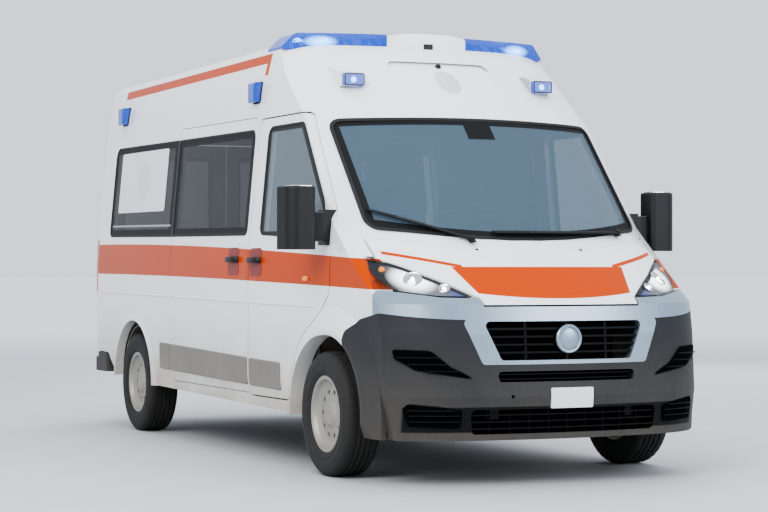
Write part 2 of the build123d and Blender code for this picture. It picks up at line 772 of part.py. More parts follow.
# Inside of the cab
BULKHEAD_FRONT = 2117
BULKHEAD_REAR = 2142
bulkhead = block(BULKHEAD_FRONT, BULKHEAD_REAR, -WIDE, WIDE, FLOOR_HIGH, 2600) & inner
parts["bulkhead"] = bulkhead - block(2000, 2300, -260, 260, 1250, 1960)
dash_profile = [
    (640, 1180, 0),
    (640, 1222, 20),
    (900, 1262, 80),
    (1130, 1262, 50),
    (1192, 1185, 50),
    (1165, 1000, 50),
    (1095, 815, 40),
    (FIREWALL_BACK, 815, 0),
    (FIREWALL_BACK, 1180, 0),
]
WHEEL_CENTRE = (1370, 440, 1130)
COLUMN_TILT_DEG = 40
COLUMN_RADIUS = 28
SHAFT_RADIUS = 12
dash = side_prism(dash_profile, -885, 885)
dash = dash & front_region("bonnet", 70) & front_region("windscreen", 62)
column_place = Pos(at(WHEEL_CENTRE[0]), WHEEL_CENTRE[1], WHEEL_CENTRE[2]) * Rot(0, -90 + COLUMN_TILT_DEG, 0)
shaft = Pos(0, 0, -45) * Cylinder(SHAFT_RADIUS, 46)
column = column_place * (Pos(0, 0, -200) * Cylinder(COLUMN_RADIUS, 280) + shaft)
parts["dashboard"] = (dash + column).clean()
rim = Torus(188, 14)
hub = Pos(0, 0, -24) * Cylinder(62, 44) - Pos(0, 0, -34) * Cylinder(SHAFT_RADIUS + BEARING_GAP, 32)
spokes = [Rot(0, 0, turn) * Pos(112, 0, -14) * Box(152, 34, 16) for turn in (0, 180, -90)]
steering_wheel = rim + hub
for spoke in spokes:
    steering_wheel = steering_wheel + spoke
parts["steering_wheel"] = column_place * Rot(0, 0, 90) * steering_wheel

SEAT_BACK = (
    (1885, 860, 20),
    (2010, 860, 30),
    (2100, 1500, 20),
    (2104, 1690, 40),
    (2020, 1690, 40),
    (1990, 1500, 60),
)


def seat(y_low, y_high):
    """Cab seat between two y limits: box, cushion and back."""
    base = block(1560, 1960, y_low + 40, y_high - 40, FLOOR_HIGH, 760)
    cushion = side_prism([(1480, 760, 30), (1480, 905, 50), (1990, 885, 20), (1990, 760, 30)], y_low, y_high)
    back = side_prism(SEAT_BACK, y_low, y_high)
    return (base + cushion + back).clean()


attendant = mirrored(seat(-230, 230)).mirror(Plane.YZ)
attendant = Pos(at(2155) + at(2104), 0, 0) * attendant
parts["seats"] = Compound(
    [*seat(210, 670).solids(), *seat(-780, -20).solids(), *attendant.solids()]
)

# Inside of the patient space
lower_cabinet = block(2900, 5200, 650, WIDE, FLOOR_HIGH, 1290) & inner
lower_cabinet = lower_cabinet - rear_well
upper_cabinet = block(2200, 5200, 560, WIDE, 2070, 2370) & inner
parts["cabinets"] = Compound([*lower_cabinet.solids(), *upper_cabinet.solids()])
stretcher_legs = block(3500, 3560, -330, 210, FLOOR_HIGH, 790) + block(4860, 4920, -330, 210, FLOOR_HIGH, 790)
stretcher = stretcher_legs + block(3250, 5150, -350, 230, 790, 820)
mattress = side_prism(
    [(3250, 820, 20), (3200, 1110, 30), (3290, 1130, 30), (3860, 900, 60), (5140, 900, 40), (5140, 820, 20)],
    -330,
    210,
)
parts["stretcher"] = (stretcher + mattress).clean()


def windscreen_back(y, z):
    """Distance back of the windscreen's surface at a place."""
    back, start_z, lean = FRONT_SURFACES["windscreen"][:3]
    return back + (z - start_z) * lean + plan_drop("windscreen", y)


# Wipers: pivot and tip of each as (y, z)
WIPERS = (((640, 1334), (-190, 1334)), ((-330, 1292), (-815, 1455)))
wiper_solids = []
for (pivot_y, pivot_z), (tip_y, tip_z) in WIPERS:
    strip = front_prism(
        [
            (pivot_y, pivot_z - 9, 0),
            (tip_y, tip_z - 6, 0),
            (tip_y, tip_z + 6, 0),
            (pivot_y, pivot_z + 9, 0),
        ],
        300,
        900,
    )
    blade = front_skin("windscreen", -24, -9) & strip
    foot = block(300, 900, pivot_y - 14, pivot_y + 14, pivot_z - 18, pivot_z + 4)
    post = front_skin("windscreen", -24, 0) & foot
    wiper_solids.append((blade + post).clean())
parts["wipers"] = Compound([s for w in wiper_solids for s in w.solids()])

# Grille: bars and a plain round badge plate
BAR_HEIGHTS = (697, 738, 779, 820)
BAR_HEIGHT = 11
BADGE_RADIUS = 76
bars_form = front_region("lip", 14) & front_region("nose", 14)
bars_form = bars_form - (front_region("lip", 40) & front_region("nose", 40))
grille = rod("x", BADGE_RADIUS, 50, 0, 766, 60)
for z in BAR_HEIGHTS:
    grille = grille + (bars_form & block(-60, 300, -480, 480, z - BAR_HEIGHT / 2, z + BAR_HEIGHT / 2))
for y in (-240, 0, 240):
    grille = grille + (bars_form & block(-60, 300, y - 8, y + 8, 640, 880) & (front_region("nose", 24)))
parts["grille"] = (grille & grille_cut) - front_region("nose", 70)

# Rear bumper with its step
REAR_STEP = LENGTH
bumper_plan = [
    (at(5030), 1024, 20),
    (at(5320), 1024, 60),
    (at(REAR_STEP), 900, 60),
    (at(REAR_STEP), -900, 60),
    (at(5320), -1024, 60),
    (at(5030), -1024, 20),
]
STEP_LOW = 385
STEP_TOP = 485
CORNER_TOP = 524
CORNER_IN = 968
rear_bumper = prism("z", bumper_plan, STEP_LOW, STEP_TOP) & block(5030, REAR_STEP, -WIDE, WIDE, STEP_LOW, STEP_TOP)
rear_bumper = rear_bumper - block(4900, BODY_REAR - WALL, -CORNER_IN, CORNER_IN, 300, 600)
corner = prism("z", bumper_plan, STEP_LOW, CORNER_TOP) & block(5030, SIDE_END, -WIDE, WIDE, STEP_LOW, CORNER_TOP)
corner = corner - block(4900, 5500, -CORNER_IN, CORNER_IN, 300, 600)
beside_body = envelope(-3) & block(SIDE_END - 5, BODY_REAR + 60, -WIDE, WIDE, STEP_TOP - 20, 600)
parts["rear_bumper"] = ((rear_bumper + corner) - rear_frame - beside_body).clean()

# Light bar with its blue lenses, flashers, roof vents
BAR_FRONT = 1742
BAR_RADIUS = 2300
LENS_IN = 262
LENS_DEPTH = 210
LENS_FRONT_VIEW = (
    (LENS_IN, 2434, 0),
    (LENS_IN, 2534, 0),
    (800, 2534, 45),
    (878, 2448, 12),
    (860, 2434, 12),
)
CENTRE_FRONT_VIEW = (
    (-LENS_IN + 2, 2380, 0),
    (LENS_IN - 2, 2380, 0),
    (LENS_IN - 2, 2528, 15),
    (130, 2546, 60),
    (-130, 2546, 60),
    (-LENS_IN + 2, 2528, 15),
)


def curved_bar(front, depth, front_view):
    """Upright bar that follows the curve of the roof's front, with an outline in front view."""
    middle = (2380 + 2560) / 2
    outer_arc = rod("z", BAR_RADIUS, front + BAR_RADIUS, 0, middle, 300)
    inner_arc = rod("z", BAR_RADIUS - depth, front + BAR_RADIUS, 0, middle, 300)
    return (outer_arc - inner_arc) & front_prism(front_view, front - 100, front + 600)


def largest(shape):
    """The biggest solid of a shape."""
    return shape.solids().sort_by(SortBy.VOLUME)[-1]


centre_housing = curved_bar(BAR_FRONT - 6, 300, CENTRE_FRONT_VIEW) - outer
lens = largest(curved_bar(BAR_FRONT, LENS_DEPTH, LENS_FRONT_VIEW) - outer)

# Flashers as (back, y, z) of the middle of each, the ones on the raised front under a white hood
SIDE_FLASHERS = ((2172, 918, 2194), (4871, 916, 2236))
FOREHEAD_FLASHER = (1478, 616, 2225)
LENS_SHARE = 34
flashers = []
for back, y, z in SIDE_FLASHERS:
    flasher = block(back - 58, back + 58, y - 90, y + 55, z - 60, z + 60)
    flasher = fillet(flasher.faces().sort_by(Axis.Y)[-1].edges(), 14)
    flashers.append(largest(flasher - outer))
back, y, z = FOREHEAD_FLASHER
flashers.append(largest(block(back - 58, back - 58 + LENS_SHARE, y - 62, y + 62, z - 34, z + 34)))
hood_side = [
    (back - 58 + LENS_SHARE, z - 40, 0),
    (back - 58 + LENS_SHARE, z + 44, 12),
    (back + 190, z + 92, 0),
    (back + 190, z - 40, 0),
]
hood = largest(side_prism(hood_side, y - 70, y + 70) - outer)
parts["light_bar_housing"] = Compound([largest(centre_housing), *both(hood).solids()])
parts["blue_lamps"] = both(Compound([lens, *flashers]))

ROOF_VENTS = ((3000, 0, 200), (4700, 0, 170))
vents = []
for back, y, half in ROOF_VENTS:
    vent = block(back - half, back + half, y - half, y + half, 2490, 2566)
    vent = fillet(vent.edges().filter_by(Axis.Z), 40)
    vents.append(largest(vent - outer))
parts["roof_vents"] = Compound(vents)

# Door mirrors
MIRROR_IN = 1062
MIRROR_OUT = 1250
mirror_head = prism(
    "z",
    [(at(905), MIRROR_IN, 30), (at(905), MIRROR_OUT - 30, 70), (at(1045), MIRROR_OUT, 15), (at(1045), MIRROR_IN, 15)],
    1238,
    1582,
)
mirror_head = fillet(mirror_head.edges().group_by(Axis.Z)[-1], 12)
mirror_head = mirror_head - block(1035, 1100, MIRROR_IN + 10, MIRROR_OUT - 10, 1250, 1335)
mirror_head = mirror_head - block(1035, 1100, MIRROR_IN + 10, MIRROR_OUT - 10, 1350, 1570)
arm_view = [
    (at(1052), 940, 0),
    (at(1040), 1010, 30),
    (at(1030), MIRROR_IN + 5, 0),
    (at(950), MIRROR_IN + 5, 0),
    (at(945), 1010, 30),
    (at(945), 940, 0),
]
mirror_arm = prism("z", arm_view, 1286, 1440)
mirror_base = block(945, 1062, 900, 992, 1262, 1456)
mirror = largest((mirror_head + mirror_arm + mirror_base) - outer)
parts["mirror_left"] = mirror
parts["mirror_right"] = mirrored(mirror)

os.makedirs("parts", exist_ok=True)
for name, piece in parts.items():
    export_step(piece, f"parts/{name}.step")
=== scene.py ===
import math

import bmesh
import bpy
from mathutils import Matrix, Vector
from mathutils.bvhtree import BVHTree


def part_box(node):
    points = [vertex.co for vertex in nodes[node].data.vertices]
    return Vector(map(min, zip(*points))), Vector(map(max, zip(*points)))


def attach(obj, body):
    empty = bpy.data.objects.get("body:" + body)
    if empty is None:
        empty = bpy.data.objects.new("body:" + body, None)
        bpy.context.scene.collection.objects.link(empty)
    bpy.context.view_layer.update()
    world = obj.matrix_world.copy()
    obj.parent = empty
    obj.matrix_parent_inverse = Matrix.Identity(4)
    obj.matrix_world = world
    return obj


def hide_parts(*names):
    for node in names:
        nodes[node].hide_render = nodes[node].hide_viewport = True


# The looks of a high-roof ambulance van: materials, livery, seals, lamps, tread, seats, fittings. In metres.
# +X is forward, +Y is the vehicle's left, +Z is up. Distances along the body are measured back from the nose.

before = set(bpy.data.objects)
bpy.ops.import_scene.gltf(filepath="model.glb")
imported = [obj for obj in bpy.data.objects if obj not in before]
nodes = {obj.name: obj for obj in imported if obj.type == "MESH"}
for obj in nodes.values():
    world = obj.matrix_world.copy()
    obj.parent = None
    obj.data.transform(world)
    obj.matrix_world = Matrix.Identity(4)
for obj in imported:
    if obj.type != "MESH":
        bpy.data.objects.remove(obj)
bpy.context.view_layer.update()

NOSE_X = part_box("front_bumper")[1].x
RIGHT = -1
LEFT = 1
SIDES = ((RIGHT, "right"), (LEFT, "left"))


def at(back):
    """X of a place given by its distance back from the nose."""
    return NOSE_X - back


def point(back, y, z):
    """Place given by its distance back from the nose."""
    return Vector((at(back), y, z))


# Shapes are pairs of a list of points and a list of faces, joined into pieces by piece()


def joined(*shapes):
    """Several shapes as one."""
    points, faces = [], []
    for shape_points, shape_faces in shapes:
        start = len(points)
        points.extend(shape_points)
        faces.extend([[start + i for i in face] for face in shape_faces])
    return points, faces


def transformed(shape, matrix):
    """A shape moved and turned by a matrix."""
    points, faces = shape
    faces = [list(reversed(f)) for f in faces] if matrix.determinant() < 0 else faces
    return [matrix @ Vector(p) for p in points], faces


def piece(name, finish, shape, body="root", sharp_deg=35):
    """One piece of the vehicle, with the material of its finish, that rides on a body."""
    points, faces = shape
    mesh = bpy.data.meshes.new(name)
    mesh.from_pydata([tuple(p) for p in points], [], faces)
    mesh.validate()
    mesh.polygons.foreach_set("use_smooth", [True] * len(mesh.polygons))
    mesh.set_sharp_from_angle(angle=math.radians(sharp_deg))
    mesh.materials.append(MATERIALS[finish])
    made = bpy.data.objects.new(name, mesh)
    bpy.context.scene.collection.objects.link(made)
    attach(made, body)
    return made


def from_bmesh(bm):
    """The shape that a bmesh holds."""
    bm.verts.index_update()
    points = [v.co.copy() for v in bm.verts]
    faces = [[v.index for v in f.verts] for f in bm.faces]
    bm.free()
    return points, faces


def box(one, other, radius=0.006, steps=2):
    """Box with rounded edges between two corners of (back, y, z)."""
    one, other = point(*one), point(*other)
    size = [abs(a - b) for a, b in zip(one, other)]
    bm = bmesh.new()
    bmesh.ops.create_cube(bm, size=1)
    for v in bm.verts:
        v.co = Vector([v.co[i] * size[i] for i in range(3)]) + (one + other) / 2
    radius = min(radius, min(size) * 0.45)
    bmesh.ops.bevel(bm, geom=bm.edges[:], offset=radius, segments=steps, profile=0.5, affect="EDGES")
    return from_bmesh(bm)


def turned(profile, centre, axis, steps=48, start_deg=0, turn_deg=360):
    """Profile of (radius, distance along the axis) turned about an axis through a centre."""
    direction = Vector(axis).normalized()
    to_axis = Vector((0, 0, 1)).rotation_difference(direction).to_matrix()
    whole = turn_deg == 360
    rings = steps if whole else steps + 1
    points = []
    for i in range(rings):
        angle = math.radians(start_deg + turn_deg * i / steps)
        for radius, along in profile:
            spot = Vector((radius * math.cos(angle), radius * math.sin(angle), along))
            points.append(to_axis @ spot + Vector(centre))
    count = len(profile)
    faces = []
    for i in range(steps):
        a = i * count
        b = ((i + 1) % rings) * count
        for j in range(count - 1):
            faces.append([a + j, b + j, b + j + 1, a + j + 1])
    return points, faces


def swept(path, profile, closed=False, up=(0, 0, 1)):
    """Closed profile of (across, up) carried along a path of points."""
    points, faces = [], []
    count = len(path)
    size = len(profile)
    for i in range(count):
        before = path[i - 1] if closed or i > 0 else path[i]
        after = path[(i + 1) % count] if closed or i < count - 1 else path[i]
        direction = (Vector(after) - Vector(before)).normalized()
        across = direction.cross(Vector(up)).normalized()
        rise = across.cross(direction).normalized()
        for u, v in profile:
            points.append(Vector(path[i]) + across * u + rise * v)
    for i in range(count if closed else count - 1):
        a = i * size
        b = ((i + 1) % count) * size
        for j in range(size):
            k = (j + 1) % size
            faces.append([a + j, a + k, b + k, b + j])
    if not closed:
        faces.append(list(range(size)))
        faces.append([(count - 1) * size + j for j in reversed(range(size))])
    return points, faces


def ring_profile(radius, sides=10):
    """Round profile for a tube."""
    turns = [2 * math.pi * i / sides for i in range(sides)]
    return [(radius * math.cos(a), radius * math.sin(a)) for a in turns]


CURVE_STEPS = 5


def smooth_path(corners):
    """Curve through corner points, as a list of points."""
    found = []
    count = len(corners)
    for i in range(count - 1):
        p0 = Vector(corners[max(i - 1, 0)])
        p1 = Vector(corners[i])
        p2 = Vector(corners[i + 1])
        p3 = Vector(corners[min(i + 2, count - 1)])
        for step in range(CURVE_STEPS):
            t = step / CURVE_STEPS
            second = (p0 * 2 - p1 * 5 + p2 * 4 - p3) * t**2
            third = (p1 * 3 - p0 - p2 * 3 + p3) * t**3
            found.append((p1 * 2 + (p2 - p0) * t + second + third) / 2)
    found.append(Vector(corners[-1]))
    return found


def tube(path, radius, sides=10, closed=False, up=(0, 0, 1)):
    """Round tube along a path."""
    return swept(path, ring_profile(radius, sides), closed, up)


# Outlines on the body are corners of (u, v, radius): u is the distance back, or y at the front and the rear


CORNER_STEPS = 5
EDGE_STEP = 0.06
SMALLEST_OFFSET = 0.0015
SMALLEST_RADIUS = 0.001


def neighbours(corners, i):
    """A corner of an outline with the ones before and after it, without their radii."""
    return [Vector(corners[k % len(corners)][:2]) for k in (i, i - 1, i + 1)]


def offset_corners(corners, amount):
    """The same outline with every side moved inwards by an amount, which is negative to move it outwards."""
    area = sum(corners[i - 1][0] * c[1] - c[0] * corners[i - 1][1] for i, c in enumerate(corners))
    hand = 1 if area > 0 else -1
    moved = []
    for i, (_, _, radius) in enumerate(corners):
        here, before, after = neighbours(corners, i)
        arriving = (here - before).normalized()
        leaving = (after - here).normalized()
        inward_a = Vector((-arriving.y, arriving.x)) * hand
        inward_b = Vector((-leaving.y, leaving.x)) * hand
        spot = here + (inward_a + inward_b) * (amount / (1 + inward_a.dot(inward_b)))
        turn = arriving.x * leaving.y - arriving.y * leaving.x
        outward = 1 if turn * hand > 0 else -1
        moved.append((spot.x, spot.y, max(radius - amount * outward, SMALLEST_OFFSET)))
    return moved


def edge_counts(corners):
    """How many points each straight side gets."""
    sides = [neighbours(corners, i) for i in range(len(corners))]
    return [max(1, round((after - here).length / EDGE_STEP)) for here, _, after in sides]


def traced(corners, counts=None):
    """Points along a closed outline with rounded corners."""
    counts = counts or edge_counts(corners)
    turns = []
    for i, (_, _, radius) in enumerate(corners):
        here, before, after = neighbours(corners, i)
        back = (before - here).normalized()
        on = (after - here).normalized()
        half = back.angle(on) / 2
        radius = max(radius, SMALLEST_RADIUS)
        centre = here + (back + on).normalized() * (radius / math.sin(half))
        a = here + back * (radius / math.tan(half)) - centre
        b = here + on * (radius / math.tan(half)) - centre
        arc = []
        for step in range(CORNER_STEPS + 1):
            angle = -a.angle_signed(b) * step / CORNER_STEPS
            turned_x = a.x * math.cos(angle) - a.y * math.sin(angle)
            turned_y = a.x * math.sin(angle) + a.y * math.cos(angle)
            arc.append(centre + Vector((turned_x, turned_y)))
        turns.append(arc)
    points = []
    for turn, following, steps in zip(turns, turns[1:] + turns[:1], counts):
        points.extend(turn)
        points.extend([turn[-1].lerp(following[0], step / steps) for step in range(1, steps)])
    return points


def skin_tree(names):
    """Search tree over the outer surfaces of some CAD nodes."""
    points, faces = [], []
    for name in names:
        mesh = nodes[name].data
        start = len(points)
        points.extend([v.co.copy() for v in mesh.vertices])
        faces.extend([[start + i for i in p.vertices] for p in mesh.polygons])
    return BVHTree.FromPolygons(points, faces)


BODY_NODES = (
    "windscreen_frame", "windscreen", "headlamps", "nose_panel", "front_bumper", "front_wings",
    "bonnet", "body_side_left", "body_side_right", "sliding_door", "rear_frame", "tail_lamps", "roof",
    "side_glass", "cab_door_left", "cab_door_right", "cab_glass_left", "cab_glass_right",
    "rear_door_left", "rear_door_right", "rear_glass_left", "rear_glass_right", "grille",
)
skin = skin_tree(BODY_NODES)
PROBES = (-0.013, 0, 0.013)
FAR = 3.2
FAR_Y = 1.6


def skin_distance(origins, direction):
    """The nearest hit of a few parallel rays."""
    hits = [skin.ray_cast(Vector(o), Vector(direction)) for o in origins]
    found = [h[3] for h in hits if h[0] is not None]
    return min(found) if found else None


def side_y(back, z):
    """How far from the middle the body's side is at a place. The body is the same on both sides."""
    return FAR_Y - skin_distance([(at(back) + d, -FAR_Y, z) for d in PROBES], (0, 1, 0))


def front_x(y, z):
    """X of the body's front at a place."""
    return FAR - skin_distance([(FAR, y + d, z) for d in PROBES], (-1, 0, 0))


def rear_x(y, z):
    """X of the body's rear at a place."""
    return skin_distance([(-FAR, y + d, z) for d in PROBES], (1, 0, 0)) - FAR


def left_place(u, v, out):
    """Point on the left side: distance back, height, distance outwards."""
    return point(u, side_y(u, v) + out, v)


def right_place(u, v, out):
    """Point on the right side."""
    return point(u, -side_y(u, v) - out, v)


def front_place(u, v, out):
    """Point on the front: y, height, distance outwards."""
    return Vector((front_x(u, v) + out, u, v))


def rear_place(u, v, out):
    """Point on the rear: y, height, distance outwards."""
    return Vector((rear_x(u, v) - out, u, v))


def top_place(u, v, out):
    """Point on the top: distance back, y, distance outwards."""
    return point(u, v, FAR - skin_distance([(at(u), v + d, FAR) for d in PROBES], (0, 0, -1)) + out)


SIDE_PLACES = {LEFT: left_place, RIGHT: right_place}
GRID_STEP = 0.09


def plate(corners, thickness, place, edge=0.003, sunk=0.003, grid=GRID_STEP):
    """Plate with softened edges that follows the body's surface inside an outline."""
    counts = edge_counts(corners)
    outer = traced(corners, counts)
    inner = traced(offset_corners(corners, edge), counts)
    count = len(outer)
    bm = bmesh.new()
    low = [bm.verts.new((p.x, p.y, -sunk)) for p in outer]
    shoulder = [bm.verts.new((p.x, p.y, thickness - edge)) for p in outer]
    top = [bm.verts.new((p.x, p.y, thickness)) for p in inner]
    for i in range(count):
        k = (i + 1) % count
        bm.faces.new([low[i], low[k], shoulder[k], shoulder[i]])
        bm.faces.new([shoulder[i], shoulder[k], top[k], top[i]])
    bm.faces.new(top)
    for axis in (0, 1):
        values = [p[axis] for p in outer]
        lines = int((max(values) - min(values)) / grid)
        for i in range(1, lines + 1):
            cut = min(values) + (max(values) - min(values)) * i / (lines + 1)
            spot = [0, 0, 0]
            direction = [0, 0, 0]
            spot[axis] = cut
            direction[axis] = 1
            geometry = bm.verts[:] + bm.edges[:] + bm.faces[:]
            bmesh.ops.bisect_plane(bm, geom=geometry, plane_co=spot, plane_no=direction)
    bmesh.ops.triangulate(bm, faces=[f for f in bm.faces if len(f.verts) > 4])
    for v in bm.verts:
        v.co = place(v.co.x, v.co.y, v.co.z)
    bmesh.ops.recalc_face_normals(bm, faces=bm.faces[:])
    return from_bmesh(bm)


def rim(corners, stations, place):
    """Closed band along an outline. Its stations are (distance inwards, distance outwards from the body)."""
    counts = edge_counts(corners)
    loops = [traced(offset_corners(corners, inward), counts) for inward, _ in stations]
    count = len(loops[0])
    points = [place(p.x, p.y, out) for loop, (_, out) in zip(loops, stations) for p in loop]
    faces = []
    rows = len(stations)
    for row in range(rows):
        following = (row + 1) % rows
        for i in range(count):
            k = (i + 1) % count
            faces.append([row * count + i, row * count + k, following * count + k, following * count + i])
    return points, faces


# Materials


class Value:
    """A number in a node tree, with plain arithmetic."""

    def __init__(self, graph, socket):
        self.graph = graph
        self.socket = socket

    def __rsub__(self, other):
        return self.graph.math("SUBTRACT", other, self)

    def __abs__(self):
        return self.graph.math("ABSOLUTE", self)

    def __neg__(self):
        return self * -1

    def line(self, slope, start):
        """The value times a slope, plus a start."""
        return self.graph.math("MULTIPLY_ADD", self, slope, start)

    def clamped(self):
        """The value kept between 0 and 1."""
        self.socket.node.use_clamp = True
        return self

    def above(self, limit, soft=0.002):
        """1 where the value is above a limit, with a soft edge."""
        return ((self - limit + soft / 2) / soft).clamped()

    def below(self, limit, soft=0.002):
        """1 where the value is below a limit, with a soft edge."""
        return ((limit - self + soft / 2) / soft).clamped()

    def inside(self, low, high, soft=0.002):
        """1 where the value lies between two limits."""
        return self.above(low, soft) * (-self).above(-high, soft)


OPERATORS = {
    "__add__": "ADD",
    "__sub__": "SUBTRACT",
    "__mul__": "MULTIPLY",
    "__truediv__": "DIVIDE",
    "__pow__": "POWER",
    "__or__": "MAXIMUM",
    "__and__": "MINIMUM",
}
for operator_name, operation in OPERATORS.items():
    setattr(Value, operator_name, lambda self, other, kind=operation: self.graph.math(kind, self, other))


class Graph:
    """Short ways to build a node tree."""

    def __init__(self, tree):
        self.tree = tree

    def node(self, kind, **settings):
        made = self.tree.nodes.new("ShaderNode" + kind)
        for key, value in settings.items():
            setattr(made, key, value)
        return made

    def put(self, value, target):
        """Give an input a number, a colour or what another node puts out."""
        value = getattr(value, "socket", value)
        if isinstance(value, bpy.types.NodeSocket):
            self.tree.links.new(value, target)
        else:
            target.default_value = value

    def shade(self, name, value):
        """Give an input of the material's shader a value."""
        self.put(value, self.tree.nodes["Principled BSDF"].inputs[name])

    def math(self, operation, a, b=0.0, c=0.0):
        made = self.node("Math", operation=operation)
        for socket, value in zip(made.inputs, (a, b, c)):
            self.put(value, socket)
        return Value(self, made.outputs[0])

    def mixed(self, kind, first_input, output, factor, a, b):
        made = self.node("Mix", data_type=kind)
        self.put(factor, made.inputs["Factor"])
        self.put(a, made.inputs[first_input])
        self.put(b, made.inputs[first_input + 1])
        return made.outputs[output]

    def mix(self, factor, a, b):
        """A colour between two colours."""
        return self.mixed("RGBA", 6, 2, factor, a, b)

    def blend(self, factor, a, b):
        """A number between two numbers."""
        return self.mixed("FLOAT", 2, 0, factor, a, b)

    def noise(self, scale, detail=3):
        made = self.node("TexNoise")
        made.inputs["Scale"].default_value = scale
        made.inputs["Detail"].default_value = detail
        made.inputs["Roughness"].default_value = 0.55
        self.put(self.place(), made.inputs["Vector"])
        return Value(self, made.outputs["Fac"])

    def place(self):
        return self.node("TexCoord").outputs["Object"]

    def xyz(self, source="Object"):
        """Three values of a place, or of the direction in which the surface looks."""
        parts = self.node("SeparateXYZ")
        self.put(self.node("TexCoord").outputs[source], parts.inputs[0])
        return [Value(self, output) for output in parts.outputs]

    def mask(self, tree):
        """What a mask's node group puts out."""
        return Value(self, self.node("Group", node_tree=tree).outputs[0])


def mask_group(name, build):
    """Node group that puts out one mask, built by a function of a Graph."""
    tree = bpy.data.node_groups.new(name, "ShaderNodeTree")
    tree.interface.new_socket(name="Mask", in_out="OUTPUT", socket_type="NodeSocketFloat")
    graph = Graph(tree)
    end = tree.nodes.new("NodeGroupOutput")
    graph.put(build(graph), end.inputs[0])
    return tree


# Livery: heights of the side stripe's edges at three distances back, and the stripes on the roof and bonnet
STRIPE_TOP = ((0.548, 1.185), (2.648, 1.268), (5.249, 1.313))
STRIPE_LOW = ((0.408, 1.023), (2.648, 1.072), (5.249, 1.098))
STRIPE_SIDE_Y = 0.72
ROOF_STRIPE = (2.05, 4.98)
ROOF_STRIPE_Z = (2.366, 2.424)
ROOF_HOOK = (2.293, 0.055)
BONNET_STRIPE_TOP = 1.143
BONNET_STRIPE_LOW = (0.976, 0.130)
BONNET_STRIPE_HALF = (0.447, 0.45)
ACCENT = (0.489, 1.153, 0.200)
ACCENT_WIDTH = (-0.012, 0.006)
ACCENT_SPAN = (0.46, 0.83)
BONNET_REACH = 0.42
ACCENT_REACH = 0.62


def parabola(back, spots):
    """Height of a parabola through three places of (back, height)."""
    (b0, z0), (b1, z1), (b2, z2) = spots
    first = (z1 - z0) / (b1 - b0)
    second = (z2 - z1) / (b2 - b1)
    bend = (second - first) / (b2 - b0)
    return ((back - b0) * (back - b1)).line(bend, (back - b0).line(first, z0))


def livery_mask(graph):
    """1 on the stripes."""
    x, y, z = graph.xyz()
    back = NOSE_X - x
    across = abs(y)
    on_side_face = across.above(STRIPE_SIDE_Y)
    band = z.inside(parabola(back, STRIPE_LOW), parabola(back, STRIPE_TOP))
    (back_low, z_low), (back_top, z_top) = STRIPE_LOW[0], STRIPE_TOP[0]
    slant = (back_top - back_low) / (z_top - z_low)
    waist = on_side_face * band * back.above((z - z_low).line(slant, back_low))
    roof_line = on_side_face * back.inside(*ROOF_STRIPE) * z.inside(*ROOF_STRIPE_Z)
    hook_low, hook_width = ROOF_HOOK
    hook_end = ROOF_STRIPE[0] + hook_width
    hook = on_side_face * back.inside(ROOF_STRIPE[0], hook_end) * z.inside(hook_low, ROOF_STRIPE_Z[1])
    low_edge = (y * y).line(BONNET_STRIPE_LOW[1], BONNET_STRIPE_LOW[0])
    half = (z - BONNET_STRIPE_LOW[0]).line(BONNET_STRIPE_HALF[1], BONNET_STRIPE_HALF[0])
    bonnet = z.inside(low_edge, BONNET_STRIPE_TOP) * half.above(across) * (-back).above(-BONNET_REACH)
    accent_z = (across - ACCENT[0]).line(ACCENT[2], ACCENT[1])
    accent = (z - accent_z).inside(*ACCENT_WIDTH) * across.inside(*ACCENT_SPAN)
    accent = accent * (-back).above(-ACCENT_REACH)
    return waist | roof_line | hook | bonnet | accent


DIRT_LOW = 0.25
DIRT_HEIGHT = 0.75


def dirt_mask(graph):
    """Road dirt: dense low down at the sills, patchy above."""
    z = graph.xyz()[2]
    low = (1 - (z - DIRT_LOW) / DIRT_HEIGHT).clamped() ** 1.35
    patches = low * graph.noise(3.2, 5).line(1.3, 0.22)
    return (patches * graph.noise(38).line(0.5, 0.75)).clamped()


CORE_LENGTH = (-2.1, 0.7)
CORE_Z = 1.3


def inner_mask(graph):
    """1 on faces that look at the core of the vehicle, a line along its middle."""
    x, y, z = graph.xyz()
    outwards = graph.node("CombineXYZ")
    core_x = (x | CORE_LENGTH[0]) & CORE_LENGTH[1]
    for value, socket in zip((x - core_x, y, z - CORE_Z), outwards.inputs):
        graph.put(value, socket)
    unit = graph.node("VectorMath", operation="NORMALIZE")
    graph.put(outwards.outputs[0], unit.inputs[0])
    dot = graph.node("VectorMath", operation="DOT_PRODUCT")
    graph.put(unit.outputs[0], dot.inputs[0])
    graph.put(graph.node("TexCoord").outputs["Normal"], dot.inputs[1])
    return (-Value(graph, dot.outputs["Value"])).above(0.3, 0.05)


livery = mask_group("livery_mask", livery_mask)
road_dirt = mask_group("road_dirt_mask", dirt_mask)
inner_faces = mask_group("inner_face_mask", inner_mask)
MATERIALS = {}


